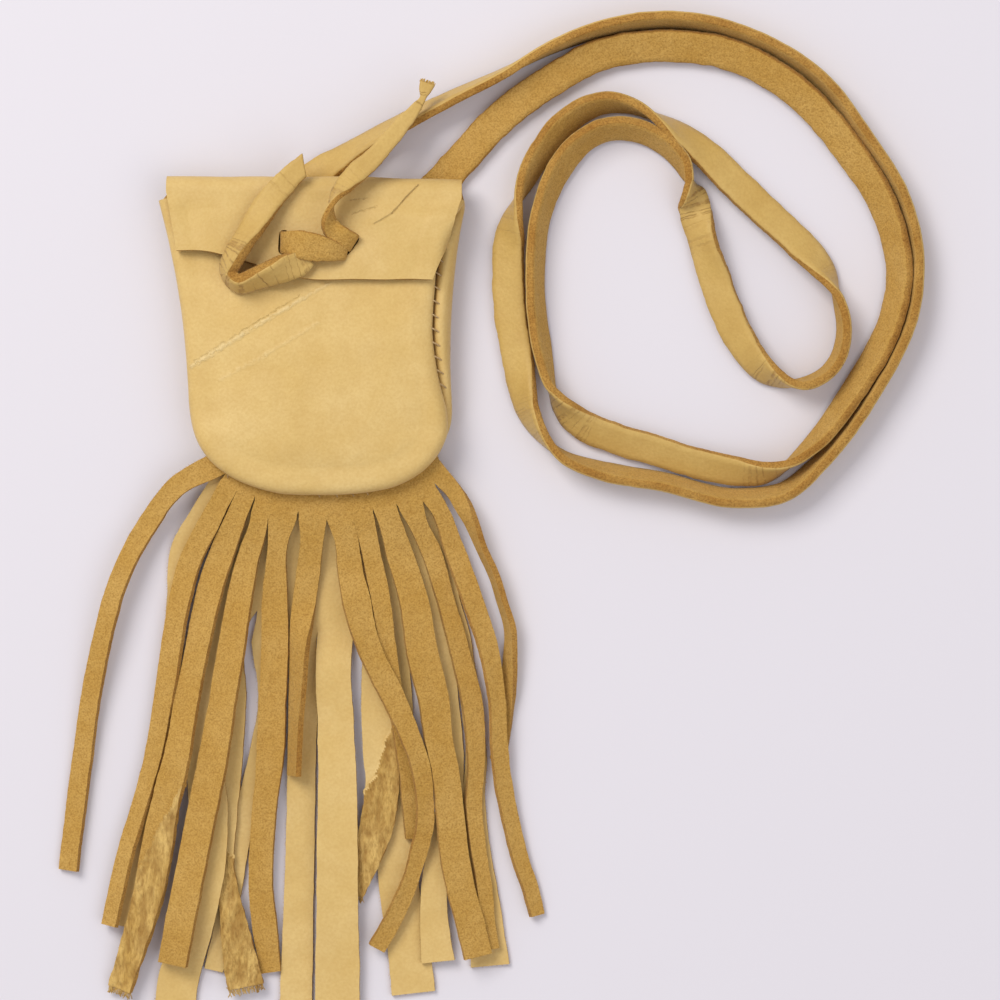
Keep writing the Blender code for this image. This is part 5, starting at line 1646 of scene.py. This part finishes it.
@dataclass
class MedicineBag:
    """The whole bag: pouch, fringe, tie and neck lace."""

    pouch: Pouch = field(default_factory=Pouch)
    tie: Tie = field(default_factory=Tie)
    lace: NeckLace = field(default_factory=NeckLace)
    fringes: tuple[FringeLayer, ...] = (
        FringeLayer("fringe_upper", 0.0, FRONT_STRIPS, 1, 25 * MM, Side.SUEDE, FRONT_TORN, FRONT_LEANS, 1.5 * MM),
        FringeLayer("fringe_lower", 0.06, BACK_STRIPS, 0, 19 * MM, Side.GRAIN, BACK_TORN, seed=40.0),
    )

    def add(self, obj: bpy.types.Object, slot: Slot) -> None:
        """Lets a finished piece move with the bag."""
        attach(obj, "root")
        log.info("%s: %d faces", obj.name, len(obj.data.polygons))

    def join(self, obj: bpy.types.Object, node: str, slot: Slot) -> None:
        """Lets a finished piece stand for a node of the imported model."""
        self.add(obj, slot)
        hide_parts(node)

    def add_threads(self, thread: bpy.types.Material) -> None:
        """Makes the stitches of the groove and the ticks at the bottom edge."""
        seam = Seam()
        stitches = Strands("stitches", 2.4 * MM, 0.2 * MM, 0.12 * MM)
        self.add(stitches.build(seam.across(), thread), Slot.GRAIN)
        ticks = Strands("ticks", 1.1 * MM, 0.15 * MM, 0.1 * MM)
        self.add(ticks.build(seam.below(), thread), Slot.GRAIN)

    def add_frays(self, torn_ends: list, finish: bpy.types.Material) -> None:
        """Makes the loose fibres at the torn ends of the strips."""
        strands = []
        for number, (left, right, way) in enumerate(torn_ends):
            strands += frayed_end(left, right, way, 60, 1.4 * MM, 31 + number)
        ends = Strands("frayed_ends", 1.9 * MM, 0.09 * MM, 0.25 * MM, 0.6, 5, 4)
        self.add(ends.build(strands, finish), Slot.SUEDE)

    def add_nap(self, piece: bpy.types.Object, seed: int, finish: bpy.types.Material) -> None:
        """Makes the fibres that stand out from a fringe's cut edges and torn flesh."""
        fibres = fibres_on(piece, (Side.EDGE, Side.ROUGH), 0.9 * MM**2, 0.4 * MM, seed)
        nap = Strands(f"{piece.name}_nap", 0.45 * MM, 0.022 * MM, 0.08 * MM, 0.4, 3, 3, seed)
        self.add(nap.build(fibres, finish), Slot.SUEDE)

    def build(self) -> None:
        """Makes all the pieces."""
        leathers = Leathers()
        scarred = leathers.with_grain(SCARRED_GRAIN)
        creased = leathers.with_grain(CREASED_GRAIN)
        bent = leathers.with_grain(LACE_GRAIN)
        front = self.pouch.build_front(scarred)
        front_tree = surface_tree(front)
        lace_cutters = self.lace.cutters(leathers)
        back = self.pouch.build_back(front_tree, creased, lace_cutters)
        back_tree = surface_tree(back)
        holes = (self.tie.left_slit, self.tie.right_hole)
        top = max(top_of([back_tree], hole.x, hole.y) for hole in holes)
        toggle = self.tie.build_toggle([front_tree, back_tree], bent)
        thong = self.tie.build_thong(top, bent)
        tie_cutters = self.tie.cutters(top, leathers)
        for panel in (front, back):
            cut_out(panel, tie_cutters)
            settled(panel)
        for cutter in tie_cutters + lace_cutters:
            bpy.data.objects.remove(cutter)
        upper, lower = self.fringes
        upper_piece, lower_piece = upper.build(leathers), lower.build(leathers)
        self.add_threads(leathers.thread)
        tip = Strands("frayed_tip", 0.9 * MM, 0.11 * MM, 0.1 * MM, 0.4, 5, 4)
        self.add(tip.build(self.tie.frayed_tip(top), bent.grain), Slot.SUEDE)
        self.add_frays(upper.torn_ends + lower.torn_ends, leathers.rough)
        for piece, seed in ((upper_piece, 5), (lower_piece, 6)):
            self.add_nap(piece, seed, leathers.suede)
        self.join(front, "front_panel", Slot.GRAIN)
        self.join(back, "back_panel_flap", Slot.GRAIN)
        self.join(upper_piece, "fringe_front", Slot.SUEDE)
        self.join(lower_piece, "fringe_back", Slot.GRAIN)
        self.join(toggle, "toggle", Slot.GRAIN)
        self.join(thong, "tie_thong", Slot.SUEDE)
        self.lace.build(bent)


def main() -> None:
    """Builds the bag and its studio."""
    logging.basicConfig(level=logging.INFO, format="%(name)s: %(message)s")
    Studio().build()
    MedicineBag().build()


if __name__ == "__main__":
    main()
